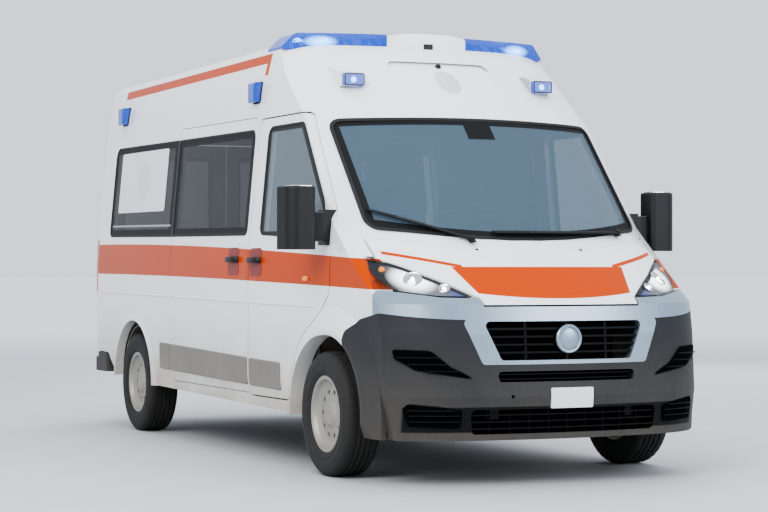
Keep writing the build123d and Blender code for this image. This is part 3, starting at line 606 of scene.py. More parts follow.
def material(name, colour, roughness, build=None, bump=None, vary=0.04, **sockets):
    """Procedural material, kept in MATERIALS: a colour that varies a little, and what build() makes of it."""
    made = bpy.data.materials.new(name)
    made.use_nodes = True
    graph = Graph(made.node_tree)
    light = tuple(min(1, c * (1 + vary)) for c in colour) + (1,)
    dark = tuple(c * (1 - vary) for c in colour) + (1,)
    base = graph.mix(graph.noise(2.4, 4), dark, light)
    rough = graph.noise(24).line(0.12, roughness - 0.06)
    for key, value in sockets.items():
        graph.shade(key.replace("_", " ").title().replace("Ior", "IOR"), value)
    if build:
        base, rough = build(graph, base, rough)
    graph.shade("Base Color", base)
    graph.shade("Roughness", rough)
    if bump:
        scale, depth = bump
        bumps = graph.node("Bump")
        bumps.inputs["Strength"].default_value = 1.0
        bumps.inputs["Distance"].default_value = depth
        graph.put(graph.noise(scale), bumps.inputs["Height"])
        graph.shade("Normal", bumps.outputs[0])
    MATERIALS[name] = made


WHITE = (0.80, 0.81, 0.82)
ORANGE = (0.46, 0.052, 0.0004, 1)
DIRT = (0.40, 0.345, 0.265, 1)
TRIM = (0.36, 0.37, 0.39, 1)
DARK_LINING = (0.060, 0.068, 0.078, 1)
UNDERSIDE = (0.012, 0.012, 0.013, 1)
# The near-black on the next line is painted shade of the intake opening across the bumper
INTAKE_SHADE = (0.002, 0.002, 0.0025, 1)
PANE_BORDER = (0.008, 0.008, 0.009, 1)
FLOOR_TOP = 0.506


def dirty(graph, base, rough, amount=1.0):
    """Colour and roughness under road dirt."""
    mask = graph.mask(road_dirt) * amount
    return graph.mix(mask, base, DIRT), graph.blend(mask, rough, 0.8)


def painted(graph, base, rough):
    """Paint with the stripes and road dirt, and trim on the faces that look inwards."""
    stripe = graph.mask(livery)
    graph.shade("Coat Weight", graph.blend(stripe, 0.6, 0.06))
    graph.shade("Specular IOR Level", graph.blend(stripe, 0.5, 0.12))
    base, rough = dirty(graph, graph.mix(stripe, base, ORANGE), rough)
    inner = graph.mask(inner_faces)
    return graph.mix(inner, base, TRIM), graph.blend(inner, rough, 0.65)


def dirt(amount):
    """Builder that adds some road dirt."""

    def build(graph, base, rough):
        return dirty(graph, base, rough, amount)

    return build


def housing_dirt(graph, base, rough):
    """Dirty towards the wheel and clean towards the inside of the vehicle."""
    return dirty(graph, base, rough, 1 - graph.mask(inner_faces))


def bulkhead_sides(graph, base, rough):
    """Dark lining towards the cab, pale towards the patient space."""
    return graph.mix(graph.xyz("Normal")[0].above(0.3), base, DARK_LINING), rough


def floor_sides(graph, base, rough):
    """Vinyl on top and black paint below."""
    return graph.mix(graph.xyz()[2].below(FLOOR_TOP), base, UNDERSIDE), rough


# Band of painted shade across the lower middle of the bumper, where the intake opening lies in shade
BUMPER_BAND_Z = (0.288, 0.418)
BUMPER_BAND_HALF = 0.875
BUMPER_BAND_X = 2.3


def bumper_dirt_and_shade(graph, base, rough):
    """Road dirt, and the lower middle of the bumper near-black as painted shade of the intake opening."""
    base, rough = dirty(graph, base, rough, 0.14)
    x, y, z = graph.xyz()
    band = z.inside(*BUMPER_BAND_Z, 0.006) * abs(y).below(BUMPER_BAND_HALF, 0.01) * x.above(BUMPER_BAND_X)
    return graph.mix(band, base, INTAKE_SHADE), rough


def pane(border, alpha_middle):
    """Builder for glass: tinted in the middle and black along its border, a function of the graph."""

    def build(graph, base, rough):
        edge = border(graph)
        graph.shade("Alpha", graph.blend(edge, alpha_middle, 1.0))
        return graph.mix(edge, base, PANE_BORDER), graph.blend(edge, 0.03, 0.55)

    return build


SCREEN_HALF = 0.835
SCREEN_TOP = (1.978, 0.020)
SCREEN_LOW = (1.352, 0.075)
SCREEN_EDGE = 0.045
SCREEN_SILL = 0.055
SENSOR_HALF = 0.085
SENSOR_LOW = 1.87


def screen_border(graph):
    """Black edge of the windscreen with the field of its sensor."""
    _, y, z = graph.xyz()
    across = abs(y)
    squared = y * y
    crown = squared.line(-SCREEN_TOP[1] / SCREEN_HALF**2, sum(SCREEN_TOP) - SCREEN_EDGE)
    sill = squared.line(SCREEN_LOW[1] / SCREEN_HALF**2, SCREEN_LOW[0] - SCREEN_LOW[1] + SCREEN_SILL)
    sensor = across.below(SENSOR_HALF) * z.above(SENSOR_LOW)
    return z.above(crown) | z.below(sill) | across.above(SCREEN_HALF - SCREEN_EDGE) | sensor


SIDE_PANES_START = 2.15
SIDE_PANES_LOW = (0.0117, 1.383)
SIDE_PANES_HIGH = (0.0141, 1.921)
SIDE_PANES_ENDS = ((2.0, 2.195), (3.505, 3.66), 4.962)
REAR_PANE_Y = (0.13, 0.885)
REAR_PANE_LEAN = 0.065
REAR_PANE_Z = (1.405, 1.952)
CAB_PANE_FRONT = (0.80, 1.062, 1.512)
CAB_PANE_EDGE = 0.05
CAB_PANE_Z = (1.352, 1.938)
CAB_PANE_END = 1.880


def side_border(graph):
    """Black edges of the side panes and the band between them."""
    x, _, z = graph.xyz()
    back = NOSE_X - x
    low = (back - SIDE_PANES_START).line(*SIDE_PANES_LOW)
    high = (back - SIDE_PANES_START).line(*SIDE_PANES_HIGH)
    front, between, rear = SIDE_PANES_ENDS
    ends = back.inside(*front) | back.inside(*between) | back.above(rear)
    return z.below(low) | z.above(high) | ends


def rear_border(graph):
    """Black edge of a rear door's pane."""
    _, y, z = graph.xyz()
    across = abs(y)
    ends = across.below(REAR_PANE_Y[0]) | z.line(REAR_PANE_LEAN, across).above(REAR_PANE_Y[1])
    return ends | z.below(REAR_PANE_Z[0]) | z.above(REAR_PANE_Z[1])


def cab_border(graph):
    """Black edge of a cab door's pane."""
    x, _, z = graph.xyz()
    back = NOSE_X - x
    slope, front_back, front_z = CAB_PANE_FRONT
    front = back.below((z - front_z).line(slope, front_back) + CAB_PANE_EDGE)
    return front | z.below(CAB_PANE_Z[0]) | z.above(CAB_PANE_Z[1]) | back.above(CAB_PANE_END)


GLOW_MIDDLE = (0.655, 2.484)
GLOW_SIZE = (0.11, 0.040)
GLOW_LOW = 2.40
GLOW_STRENGTH = 5.0
GLOW_COLOUR = (0.22, 0.55, 1.0, 1)
RIB_DENSITY = 420
RIB_BLUE = (0.002, 0.03, 0.30, 1)


def beacon_glow(graph, base, rough):
    """Lit area around the outer third of each lens of the roof bar."""
    _, y, z = graph.xyz()
    across = abs(y)
    offset = (across - GLOW_MIDDLE[0]) / GLOW_SIZE[0]
    rise = (z - GLOW_MIDDLE[1]) / GLOW_SIZE[1]
    glow = (1 - (offset * offset + rise * rise)).clamped() ** 1.4
    ribs = graph.math("SINE", across * RIB_DENSITY).line(0.15, 0.85)
    graph.shade("Emission Color", GLOW_COLOUR)
    graph.shade("Emission Strength", glow * z.above(GLOW_LOW) * ribs * GLOW_STRENGTH)
    return graph.mix(ribs, RIB_BLUE, base), rough


def lit(name, colour, strength):
    """Material that shines."""

    def build(graph, base, rough):
        graph.shade("Emission Color", (*colour, 1))
        graph.shade("Emission Strength", strength)
        return base, rough

    material(name, colour, 0.3, build)


PANE_TINT = (0.016, 0.018, 0.018)
FINE_GRAIN = (420, 0.0003)
material("white_paint", WHITE, 0.24, painted, coat_weight=0.6, coat_roughness=0.06)
material("silver_paint", (0.29, 0.36, 0.43), 0.30, dirt(0.14), metallic=0.65)
material("dark_plastic", (0.020, 0.022, 0.026), 0.55, dirt(0.14), FINE_GRAIN, specular_ior_level=0.25)
material("bumper", (0.019, 0.021, 0.026), 0.52, bumper_dirt_and_shade, FINE_GRAIN, specular_ior_level=0.22)
# Near-black, rough and almost without gloss: painted shade for recess floors, the radiator behind the grille
# and the sheets behind the intake bars
material("shade_black", (0.002, 0.002, 0.0025), 0.85, specular_ior_level=0.05)
material("grille_black", (0.004, 0.005, 0.006), 0.5, specular_ior_level=0.15)
material("black_plastic", (0.010, 0.010, 0.011), 0.42, bump=(520, 0.0002), specular_ior_level=0.35)
material("grey_plastic", (0.125, 0.125, 0.125), 0.62, dirt(0.55), (300, 0.0004))
material("rubber", (0.012, 0.012, 0.012), 0.7, bump=(260, 0.0003))
# The windscreen's pale blue base is partly tint and partly painted reflection, standing in for the bright sky
# reflected in the glass
material("windscreen_glass", (0.100, 0.150, 0.195), 0.04, pane(screen_border, 0.52), specular_ior_level=0.22)
material("side_glass", PANE_TINT, 0.03, pane(side_border, 0.60), specular_ior_level=0.22)
material("rear_glass", PANE_TINT, 0.03, pane(rear_border, 0.60), specular_ior_level=0.22)
# The cab door glass's pale blue-grey base is partly tint and partly painted reflection of the sky
material("cab_glass", (0.20, 0.25, 0.29), 0.04, pane(cab_border, 0.42))
material("lamp_glass", (0.05, 0.055, 0.06), 0.03, alpha=0.14, coat_weight=0.5)
material("reflector", (0.88, 0.89, 0.9), 0.12, metallic=1.0)
material("red_lamp", (0.42, 0.006, 0.006), 0.12, coat_weight=0.6)
material("amber_lamp", (0.85, 0.24, 0.01), 0.15, coat_weight=0.5)
material("blue_lamp", (0.005, 0.085, 0.60), 0.08, beacon_glow, alpha=0.80, coat_weight=0.6)
material("chassis_paint", (0.025, 0.025, 0.027), 0.65, dirt(1.3), (90, 0.0008))
material("housing_paint", (0.025, 0.025, 0.027), 0.7, housing_dirt, (90, 0.0008))
material("firewall_coat", (0.022, 0.022, 0.024), 0.8, bump=(60, 0.001))
material("engine_metal", (0.16, 0.165, 0.17), 0.5, bump=(60, 0.002), metallic=0.6)
material("steel", (0.42, 0.43, 0.44), 0.38, metallic=0.9)
material("chrome", (0.78, 0.79, 0.8), 0.1, metallic=1.0)
material("wheel_silver", (0.34, 0.345, 0.34), 0.38, dirt(0.55), metallic=0.7)
material("tyre_rubber", (0.018, 0.017, 0.016), 0.78, bump=(180, 0.0006))
material("seat_fabric", (0.055, 0.062, 0.075), 0.9, bump=(700, 0.0006), vary=0.15)
material("interior_white", (0.66, 0.67, 0.66), 0.45)
material("bulkhead_panel", (0.66, 0.67, 0.66), 0.5, bulkhead_sides)
material("mattress", (0.05, 0.12, 0.30), 0.55, bump=(40, 0.002))
# The dashboard grey is partly its own dark grey and partly painted highlight, made lighter to stand in for
# the pale reflection of the dash top in the windscreen
material("dashboard", (0.110, 0.116, 0.128), 0.55, bump=(300, 0.0006))
material("floor_vinyl", (0.15, 0.18, 0.21), 0.6, floor_sides, vary=0.2)
material("mirror_glass", (0.75, 0.77, 0.8), 0.03, metallic=1.0)
material("blank_plate", (0.72, 0.76, 0.80), 0.4)
material("window_film", (0.70, 0.72, 0.73), 0.35)
material("film_disc", (0.60, 0.63, 0.66), 0.35)
# Dark red-brown of the handle cups is painted shade: the orange stripe as it looks in the shade of a recess
material("handle_cup_shade", (0.20, 0.018, 0.010), 0.45)
material("pale_field", (0.50, 0.56, 0.62), 0.4)
material("screen_glass", (0.02, 0.03, 0.05), 0.08)
lit("lit_white", (0.95, 0.97, 1.0), 6.0)
lit("lit_blue", (0.25, 0.60, 1.0), 14.0)
lit("ceiling_light", (1.0, 0.98, 0.94), 0.8)


def pair(name):
    """The names of a left and a right node."""
    return f"{name}_left", f"{name}_right"


FINISHES = {
    "white_paint": (
        "windscreen_frame", "bonnet", "front_wings", "sliding_door", "rear_frame", "roof", "roof_vents",
        "light_bar_housing", *pair("body_side"), *pair("cab_door"), *pair("rear_door"),
    ),
    "silver_paint": ("nose_panel",),
    "bumper": ("front_bumper",),
    "dark_plastic": ("rear_bumper",),
    "black_plastic": ("fuel_tank", "wipers", "steering_wheel", *pair("mirror")),
    # The radiator behind the grille is near-black painted shade
    "shade_black": ("radiator",),
    "grille_black": ("grille",),
    "windscreen_glass": ("windscreen",),
    "side_glass": ("side_glass",),
    "rear_glass": pair("rear_glass"),
    "cab_glass": pair("cab_glass"),
    "lamp_glass": ("headlamps",),
    "red_lamp": ("tail_lamps",),
    "blue_lamp": ("blue_lamps",),
    "floor_vinyl": ("floor_pan",),
    "housing_paint": ("wheel_housings",),
    "firewall_coat": ("firewall",),
    "engine_metal": ("engine",),
    "chassis_paint": ("front_suspension", "rear_axle"),
    "steel": ("leaf_springs", "exhaust", *pair("knuckle")),
    "wheel_silver": (*pair("wheel_front"), *pair("wheel_rear")),
    "tyre_rubber": (*pair("tyre_front"), *pair("tyre_rear")),
    "bulkhead_panel": ("bulkhead",),
    "dashboard": ("dashboard",),
    "seat_fabric": ("seats",),
    "interior_white": ("cabinets",),
    "mattress": ("stretcher",),
}
for finish, node_names in FINISHES.items():
    for node_name in node_names:
        nodes[node_name].data.materials.clear()
        nodes[node_name].data.materials.append(MATERIALS[finish])


# Outlines of the panes, the same on both sides
CAB_WINDOW = (
    (1.925, 1.338, 0.045),
    (1.918, 1.968, 0.060),
    (1.426, 1.968, 0.060),
    (1.062, 1.512, 0.050),
    (1.000, 1.300, 0.045),
    (1.300, 1.312, 0.200),
)
SIDE_WINDOWS = (
    ((2.150, 1.338, 0.040), (2.150, 1.966, 0.050), (3.565, 1.985, 0.020), (3.565, 1.352, 0.020)),
    ((3.603, 1.352, 0.020), (3.603, 1.986, 0.020), (5.012, 2.006, 0.070), (5.012, 1.371, 0.050)),
)
WINDSCREEN = (
    (0.838, 1.352, 0.060),
    (0.834, 1.976, 0.060),
    (0.0, 1.996, 16.0),
    (-0.834, 1.976, 0.060),
    (-0.838, 1.352, 0.060),
    (0.0, 1.268, 4.5),
)
REAR_WINDOW = ((0.095, 1.371, 0.045), (0.835, 1.371, 0.045), (0.795, 1.990, 0.060), (0.095, 1.990, 0.045))
SEAL = ((-0.006, -0.002), (-0.005, 0.0035), (0.006, 0.0045), (0.012, 0.001), (0.012, -0.004))


def sided(corners, side):
    """An outline made for the left of the middle, on the given side."""
    return corners if side == LEFT else tuple((-u, v, r) for u, v, r in reversed(corners))


def rounded_outline(u, v, width, height, radius):
    """Outline of a rounded rectangle about a middle."""
    near, far = u - width / 2, u + width / 2
    low, high = v - height / 2, v + height / 2
    return ((near, low, radius), (far, low, radius), (far, high, radius), (near, high, radius))


def round_outline(u, v, radius):
    """Outline of a disc."""
    return rounded_outline(u, v, 2 * radius, 2 * radius, radius * 0.999)


def strip_outline(start, end, lows, highs, radius):
    """Outline between two distances back, with the heights of its lower and its upper edge at both."""
    return (
        (start, lows[0], radius),
        (start, highs[0], radius),
        (end, highs[1], radius),
        (end, lows[1], radius),
    )


# Seals, the band between the side panes, pale film on the rear ones, a plain round field, and runners
BAND = strip_outline(3.556, 3.612, (1.345, 1.345), (1.990, 1.991), 0.004)
FILM = strip_outline(3.80, 4.86, (1.525, 1.535), (1.950, 1.962), 0.02)
FILM_DISC = round_outline(4.311, 1.745, 0.13)
RUNNER = strip_outline(3.62, 4.95, (1.416, 1.434), (1.430, 1.448), 0.005)
piece("windscreen_seal", "rubber", rim(WINDSCREEN, SEAL, front_place))
for side, side_name in SIDES:
    place = SIDE_PLACES[side]
    piece(f"cab_window_seal_{side_name}", "rubber", rim(CAB_WINDOW, SEAL, place), f"cab_door_{side_name}")
    seals = [rim(window, SEAL, place) for window in SIDE_WINDOWS]
    piece(f"side_window_seals_{side_name}", "rubber", joined(*seals))
    piece(f"window_band_{side_name}", "black_plastic", plate(BAND, 0.003, place, 0.001))
    seal = rim(sided(REAR_WINDOW, side), SEAL, rear_place)
    piece(f"rear_window_seal_{side_name}", "rubber", seal, f"rear_door_{side_name}")
for side, side_name in SIDES:
    place = SIDE_PLACES[side]
    piece(f"window_film_{side_name}", "window_film", plate(FILM, 0.0012, place, 0.0004, 0.0005))
    piece(f"window_runner_{side_name}", "steel", plate(RUNNER, 0.006, place, 0.002))
piece("window_disc", "film_disc", plate(FILM_DISC, 0.0022, right_place, 0.0004, 0.0005))

# Grey rub panels and the crease along the sides: heights of their edges, and their rise per metre back
RUB_START = 1.616
RUB_END = 3.790
RUB_EDGES = ((0.434, 0.0144), (0.593, 0.0213))
CREASE_EDGES = ((0.921, 0.0105), (0.939, 0.0105))
RUB_STRETCHES = {
    RIGHT: (("cab_door_right", 1.616, 2.076), ("root", 2.125, 3.575), ("root", 3.592, RUB_END)),
    LEFT: (("cab_door_left", 1.616, 2.076), ("root", 2.102, RUB_END)),
}
CREASE_STRETCHES = {
    RIGHT: (("cab_door_right", 1.12, 2.076), ("root", 2.125, 3.575), ("root", 3.592, 5.20)),
    LEFT: (("cab_door_left", 1.12, 2.076), ("root", 2.102, 5.20)),
}


def side_strip(start, end, edges, radius):
    """Outline of a stretch of a rub panel or of the crease."""
    lows, highs = [[z + rise * (back - RUB_START) for back in (start, end)] for z, rise in edges]
    return strip_outline(start, end, lows, highs, radius)


for side, side_name in SIDES:
    place = SIDE_PLACES[side]
    for number, (body, start, end) in enumerate(RUB_STRETCHES[side]):
        shape = plate(side_strip(start, end, RUB_EDGES, 0.012), 0.011, place, 0.005)
        piece(f"rub_panel_{side_name}_{number}", "grey_plastic", shape, body)
    for number, (body, start, end) in enumerate(CREASE_STRETCHES[side]):
        shape = plate(side_strip(start, end, CREASE_EDGES, 0.003), 0.004, place, 0.0035)
        piece(f"crease_{side_name}_{number}", "white_paint", shape, body, sharp_deg=80)

# Door handles in their cups, which are flat plates in dark red-brown, painted shade of the recess in the
# orange stripe: (body, side, distance back, height)
CUP = (0.185, 0.168, 0.03)
GRIP = ((-0.085, 0.004), (-0.06, 0.030), (0, 0.036), (0.06, 0.030), (0.085, 0.004))
GRIP_SIZE = (0.006, 0.017)
LOCK_PROFILE = ((0, 0.006), (0.012, 0.006), (0.014, 0.003), (0.014, -0.004))
LOCK_BACK = 0.105
GRIP_RISE = 0.012
HANDLES = (
    ("cab_door_right", RIGHT, 1.974, 1.172),
    ("cab_door_left", LEFT, 1.974, 1.172),
    ("root", RIGHT, 2.351, 1.178),
)
for number, (body, side, back, z) in enumerate(HANDLES):
    place = SIDE_PLACES[side]
    cup = plate(rounded_outline(back, z, *CUP), 0.002, place, 0.001)
    piece(f"handle_cup_shade_{number}", "handle_cup_shade", cup, body)
    z += GRIP_RISE
    turns = [math.pi * i / 6 for i in range(12)]
    flat = [(GRIP_SIZE[0] * math.sin(a), GRIP_SIZE[1] * math.cos(a)) for a in turns]
    grip = swept(smooth_path([place(back + d, z, out) for d, out in GRIP]), flat)
    lock = turned(LOCK_PROFILE, place(back + LOCK_BACK, z, 0), (0, side, 0), 20)
    piece(f"door_handle_{number}", "black_plastic", joined(grip, lock), body)

# Fuel flap on the left
FLAP = rounded_outline(2.215, 0.845, 0.17, 0.17, 0.03)
FLAP_LINE = ((-0.004, -0.001), (-0.004, 0.0008), (0.0, 0.0008), (0.0, -0.001))
piece("fuel_flap", "white_paint", plate(FLAP, 0.0025, left_place, 0.0015))
piece("fuel_flap_line", "rubber", rim(FLAP, FLAP_LINE, left_place))

# Front: blank number plate, recess floors in near-black painted shade and their bars, intake bars, blank
# badge
PLATE_FRONT = rounded_outline(0.010, 0.4585, 0.250, 0.107, 0.006)
piece("front_plate", "blank_plate", plate(PLATE_FRONT, 0.010, front_place, 0.002))
FOG_RECESS = (
    (0.530, 0.562, 0.006),
    (0.820, 0.610, 0.060),
    (0.908, 0.668, 0.022),
    (0.917, 0.716, 0.012),
    (0.752, 0.710, 0.060),
    (0.660, 0.628, 0.060),
)
LOW_RECESS = (
    (0.606, 0.308, 0.018),
    (0.852, 0.320, 0.018),
    (0.868, 0.432, 0.026),
    (0.720, 0.418, 0.060),
    (0.606, 0.397, 0.014),
)
RECESS_BARS = ((FOG_RECESS, (0.605, 0.640, 0.675)), (LOW_RECESS, (0.345, 0.375, 0.402)))


def flat_profile(u, v):
    """Rectangle of half sizes to sweep along a path."""
    return [(-u, -v), (u, -v), (u, v), (-u, v)]


def spanned(outline, v):
    """Where a level line enters and leaves an outline."""
    points = traced(outline)
    met = []
    for a, b in zip(points, points[1:] + points[:1]):
        if (a.y - v) * (b.y - v) <= 0 and a.y != b.y:
            met.append(a.x + (b.x - a.x) * (v - a.y) / (b.y - a.y))
    return min(met), max(met)


for side, side_name in SIDES:
    floors, bars = [], []
    for outline, heights in RECESS_BARS:
        outline = sided(outline, side)
        floors.append(plate(outline, 0.003, front_place, 0.001))
        for z in heights:
            low, high = spanned(outline, z)
            spans = [low + (high - low) * (0.04 + 0.92 * i / 8) for i in range(9)]
            bars.append(swept([front_place(y, z, 0.012) for y in spans], flat_profile(0.008, 0.003)))
    # The recess floors are near-black plates of painted shade
    piece(f"recess_shade_floor_{side_name}", "shade_black", joined(*floors))
    piece(f"recess_bars_{side_name}", "grille_black", joined(*bars))

CURVE_Z = 0.45


def across_front(half, steps, inset, z):
    """Level path along the curve of the bumper, set in from it."""
    spans = [half * i / steps for i in range(-steps, steps + 1)]
    return [Vector((front_x(y, CURVE_Z) - inset, y, z)) for y in spans]


BAR_SPANS = ((0.305, 0.545), (0.340, 0.55), (0.375, 0.555), (0.560, 0.402), (0.585, 0.405))
intake_bars = [swept(across_front(half, 14, 0.034, z), flat_profile(0.012, 0.0035)) for z, half in BAR_SPANS]
for y in [0.11 * i for i in range(-4, 5)]:
    back = at(front_x(y, CURVE_Z) - 0.05)
    intake_bars.append(box((back + 0.012, y - 0.003, 0.262), (back - 0.012, y + 0.003, 0.41), 0.001, 1))
piece("intake_bars", "grille_black", joined(*intake_bars))
# Near-black sheets of painted shade behind the intake bars and behind a slot higher up, where the openings
# lie in shade
backing = across_front(0.6, 12, 0.085, 0.335)
slot_backing = [Vector((p.x, p.y, 0.575)) for p in backing if abs(p.y) < 0.46]
backings = (swept(backing, flat_profile(0.004, 0.075)), swept(slot_backing, flat_profile(0.004, 0.04)))
piece("intake_shade_sheet", "shade_black", joined(*backings))

BADGE_Z = 0.766
BADGE_PROFILE = (
    (0, 0.012), (0.03, 0.0105), (0.052, 0.007), (0.058, 0.003),
    (0.062, 0.009), (0.071, 0.010), (0.076, 0.004), (0.076, -0.01),
)
badge = turned(BADGE_PROFILE, (front_x(0, BADGE_Z), 0, BADGE_Z), (1, 0, 0))
piece("badge_blank", "silver_paint", badge)

# Raised front: a plain round field, a small dark camera, and the dark window of the light bar's middle
field = plate(round_outline(0.0, 2.232, 0.074), 0.002, front_place, 0.001)
piece("forehead_field", "pale_field", field)
CAMERA_PROFILE = ((0, 0.016), (0.010, 0.016), (0.014, 0.010), (0.018, 0.006), (0.018, -0.01))
roof_camera = turned(CAMERA_PROFILE, front_place(0, 2.335, 0), (0.75, 0, 0.66), 24)
piece("forehead_camera", "black_plastic", roof_camera)
piece("light_bar_window", "black_plastic", box((1.740, -0.026, 2.438), (1.730, 0.034, 2.486), 0.004))

# Headlamps: housing under the clear lens, and two reflector bowls with bulbs
LAMP_OUTLINE = (
    (0.482, 0.990, 0.010),
    (0.670, 0.994, 0.100),
    (0.850, 1.022, 0.060),
    (0.905, 1.090, 0.060),
    (0.922, 1.180, 0.010),
    (0.800, 1.165, 0.150),
    (0.600, 1.125, 0.150),
    (0.482, 1.080, 0.010),
)
LAMP_EDGE = 0.028
LAMP_BONNET_LINES = ((0.466, 0.968, 0.135), (0.688, 1.207, 0.350))
LAMP_INNER_END = (0.50, 0.14)
LAMP_OUTER_TIP = (0.82, 0.05)
BULB_SPOT = (0.745, 1.078)
BULB_REACH = 0.016
BULB_COLOUR = (0.92, 0.96, 1.0, 1)
BULB_STRENGTH = 4.5
LAMP_GREY = (0.20, 0.21, 0.22, 1)
LAMP_BLUE = (0.012, 0.060, 0.42, 1)
LAMP_TIP = (0.018, 0.019, 0.021, 1)
LAMP_DARK = (0.010, 0.011, 0.013, 1)


def lamp_housing(graph, base, rough):
    """Bright around the bulb, bluish at the inner end, dark at the outer tip and along the bonnet."""
    x, y, z = graph.xyz()
    across = abs(y)
    inner_end = (1 - (across - LAMP_INNER_END[0]) / LAMP_INNER_END[1]).clamped()
    tip = ((across - LAMP_OUTER_TIP[0]) / LAMP_OUTER_TIP[1]).clamped()
    base = graph.mix(tip, graph.mix(inner_end, LAMP_GREY, LAMP_BLUE), LAMP_TIP)
    spread = (across - BULB_SPOT[0]) ** 2 + (z - BULB_SPOT[1]) ** 2 * 2.5
    glow = (1 - spread / BULB_REACH).clamped() ** 1.5
    front, rear = [(across - y0).line(slope, back) for y0, slope, back in LAMP_BONNET_LINES]
    edge = (NOSE_X - x).above((front | rear) - LAMP_EDGE, 0.012)
    graph.shade("Emission Color", BULB_COLOUR)
    graph.shade("Emission Strength", glow * (1 - edge) * BULB_STRENGTH)
    return graph.mix(edge, base, LAMP_DARK), rough


material("lamp_housing", (0.6, 0.62, 0.64), 0.25, lamp_housing, metallic=0.4)
BOWLS = ((0.752, 1.078, 0.048, 0.010), (0.622, 1.030, 0.028, 0.008))
BULB = ((0, 0.014), (0.008, 0.011), (0.012, 0.0), (0.010, -0.012), (0, -0.013))
SIGNAL = ((0, 0.006), (0.012, 0.004), (0.018, -0.002), (0.018, -0.010), (0, -0.012))
for side, side_name in SIDES:
    housing = plate(sided(LAMP_OUTLINE, side), -0.022, front_place, -0.003, 0.028, 0.05)
    piece(f"lamp_housing_{side_name}", "lamp_housing", housing)
    bowls, bulbs, rings = [], [], []
    for y, z, radius, depth in BOWLS:
        spot = front_place(side * y, z, -0.013)
        lean = Vector((0.62, side * 0.34, 0.68))
        curve = [(radius * t, -depth * 0.55 * (1 - t * t)) for t in [i / 8 for i in range(9)]]
        rear_curve = [(r + 0.002 * (i == 8), a - 0.003) for i, (r, a) in enumerate(curve)]
        bowls.append(turned(curve + rear_curve[::-1], spot, lean, 36))
        bulbs.append(turned(BULB, spot - lean.normalized() * depth * 0.3, lean, 20))
        turns = [math.pi * i / 4 for i in range(9)]
        ring = [(radius + 0.004 * math.cos(a), 0.004 * math.sin(a)) for a in turns]
        rings.append(turned(ring, spot, lean, 36))
    piece(f"lamp_bowls_{side_name}", "reflector", joined(*bowls))
    piece(f"lamp_bulbs_{side_name}", "lit_white", joined(*bulbs))
    piece(f"lamp_rings_{side_name}", "chrome", joined(*rings))
    signal = turned(SIGNAL, front_place(side * 0.868, 1.125, -0.014), (0.75, side * 0.66, 0), 24)
    piece(f"turn_signal_{side_name}", "amber_lamp", signal)
    repeater = plate(rounded_outline(1.245, 1.078, 0.070, 0.026, 0.012), 0.010, SIDE_PLACES[side], 0.005)
    piece(f"side_repeater_{side_name}", "amber_lamp", repeater, f"cab_door_{side_name}")

# Tail lamps in three fields
TAIL_FIELDS = (
    ("amber", "amber_lamp", 1.252, 1.338),
    ("red", "red_lamp", 1.102, 1.240),
    ("clear", "reflector", 0.975, 1.090),
)
for side, side_name in SIDES:
    for field_name, finish, low, high in TAIL_FIELDS:
        outline = ((0.966, low, 0.008), (1.004, low, 0.008), (0.998, high, 0.008), (0.966, high, 0.008))
        shape = plate(sided(outline, side), 0.006, rear_place, 0.003)
        piece(f"tail_{field_name}_{side_name}", finish, shape)

# Roof bar: reflector bowls with lit lamps inside the blue lenses
BEACONS = ((0.745, 1.985), (0.600, 1.915), (0.440, 1.860), (0.320, 1.835))
BEACON_LAMP = ((0, 0.010), (0.014, 0.006), (0.018, -0.004), (0, -0.014))
for side, side_name in SIDES:
    bowls, lamps = [], []
    for y, back in BEACONS:
        spot = point(back, side * y, 2.482)
        aim = (0.95, side * 0.3, 0)
        curve = [(0.034 * t, -0.026 * (1 - t * t)) for t in [i / 6 for i in range(7)]]
        rear_curve = [(r, a - 0.003) for r, a in curve[::-1]]
        bowls.append(turned(curve + rear_curve, spot, aim, 28))
        lamps.append(turned(BEACON_LAMP, spot, aim, 18))
    piece(f"beacon_bowls_{side_name}", "reflector", joined(*bowls))
    piece(f"beacon_lamps_{side_name}", "lit_blue", joined(*lamps))

# Gaskets of the side flashers, and bezels and lamps of the two on the raised front
FLASHER_SPOTS = ((2.172, 2.194), (4.871, 2.236))
GASKET = ((-0.007, -0.002), (-0.006, 0.006), (0.003, 0.007), (0.004, -0.002))
FRONT_FLASHER = (1.420, 0.616, 2.225)
FLASHER_LAMP = ((0, 0.004), (0.014, 0.003), (0.018, -0.004), (0, -0.010))
for side, side_name in SIDES:
    outlines = [rounded_outline(back, z, 0.116, 0.120, 0.015) for back, z in FLASHER_SPOTS]
    gaskets = [rim(outline, GASKET, SIDE_PLACES[side]) for outline in outlines]
    piece(f"flasher_gaskets_{side_name}", "rubber", joined(*gaskets))
    back, y, z = FRONT_FLASHER
    around = traced(rounded_outline(0, 0, 0.120, 0.066, 0.008))
    bezel = tube([point(back - 0.001, side * y + p.x, z + p.y) for p in around], 0.003, 6, True, (1, 0, 0))
    piece(f"forehead_bezel_{side_name}", "black_plastic", bezel)
    lamp = turned(FLASHER_LAMP, point(back + 0.010, side * y, z), (1, 0, 0), 18)
    piece(f"forehead_lamp_{side_name}", "lit_blue", lamp)

# Mirrors: glass, wide-angle glass, pale cap and arm grooves
MIRROR_PANES = ((1.356, 1.564), (1.256, 1.329))
for side, side_name in SIDES:
    door = f"cab_door_{side_name}"
    panes = [box((1.0395, side * 1.078, a), (1.0335, side * 1.234, b), 0.003) for a, b in MIRROR_PANES]
    piece(f"mirror_panes_{side_name}", "mirror_glass", joined(*panes), door)
    cap = box((1.030, side * 1.082, 1.578), (0.925, side * 1.205, 1.5875), 0.004)
    piece(f"mirror_cap_{side_name}", "chrome", cap, door)
    grooves = [box((1.03, side * 1.0, z), (0.955, side * 1.055, z + 0.006), 0.002) for z in (1.283, 1.437)]
    piece(f"mirror_arm_trim_{side_name}", "grey_plastic", joined(*grooves), door)

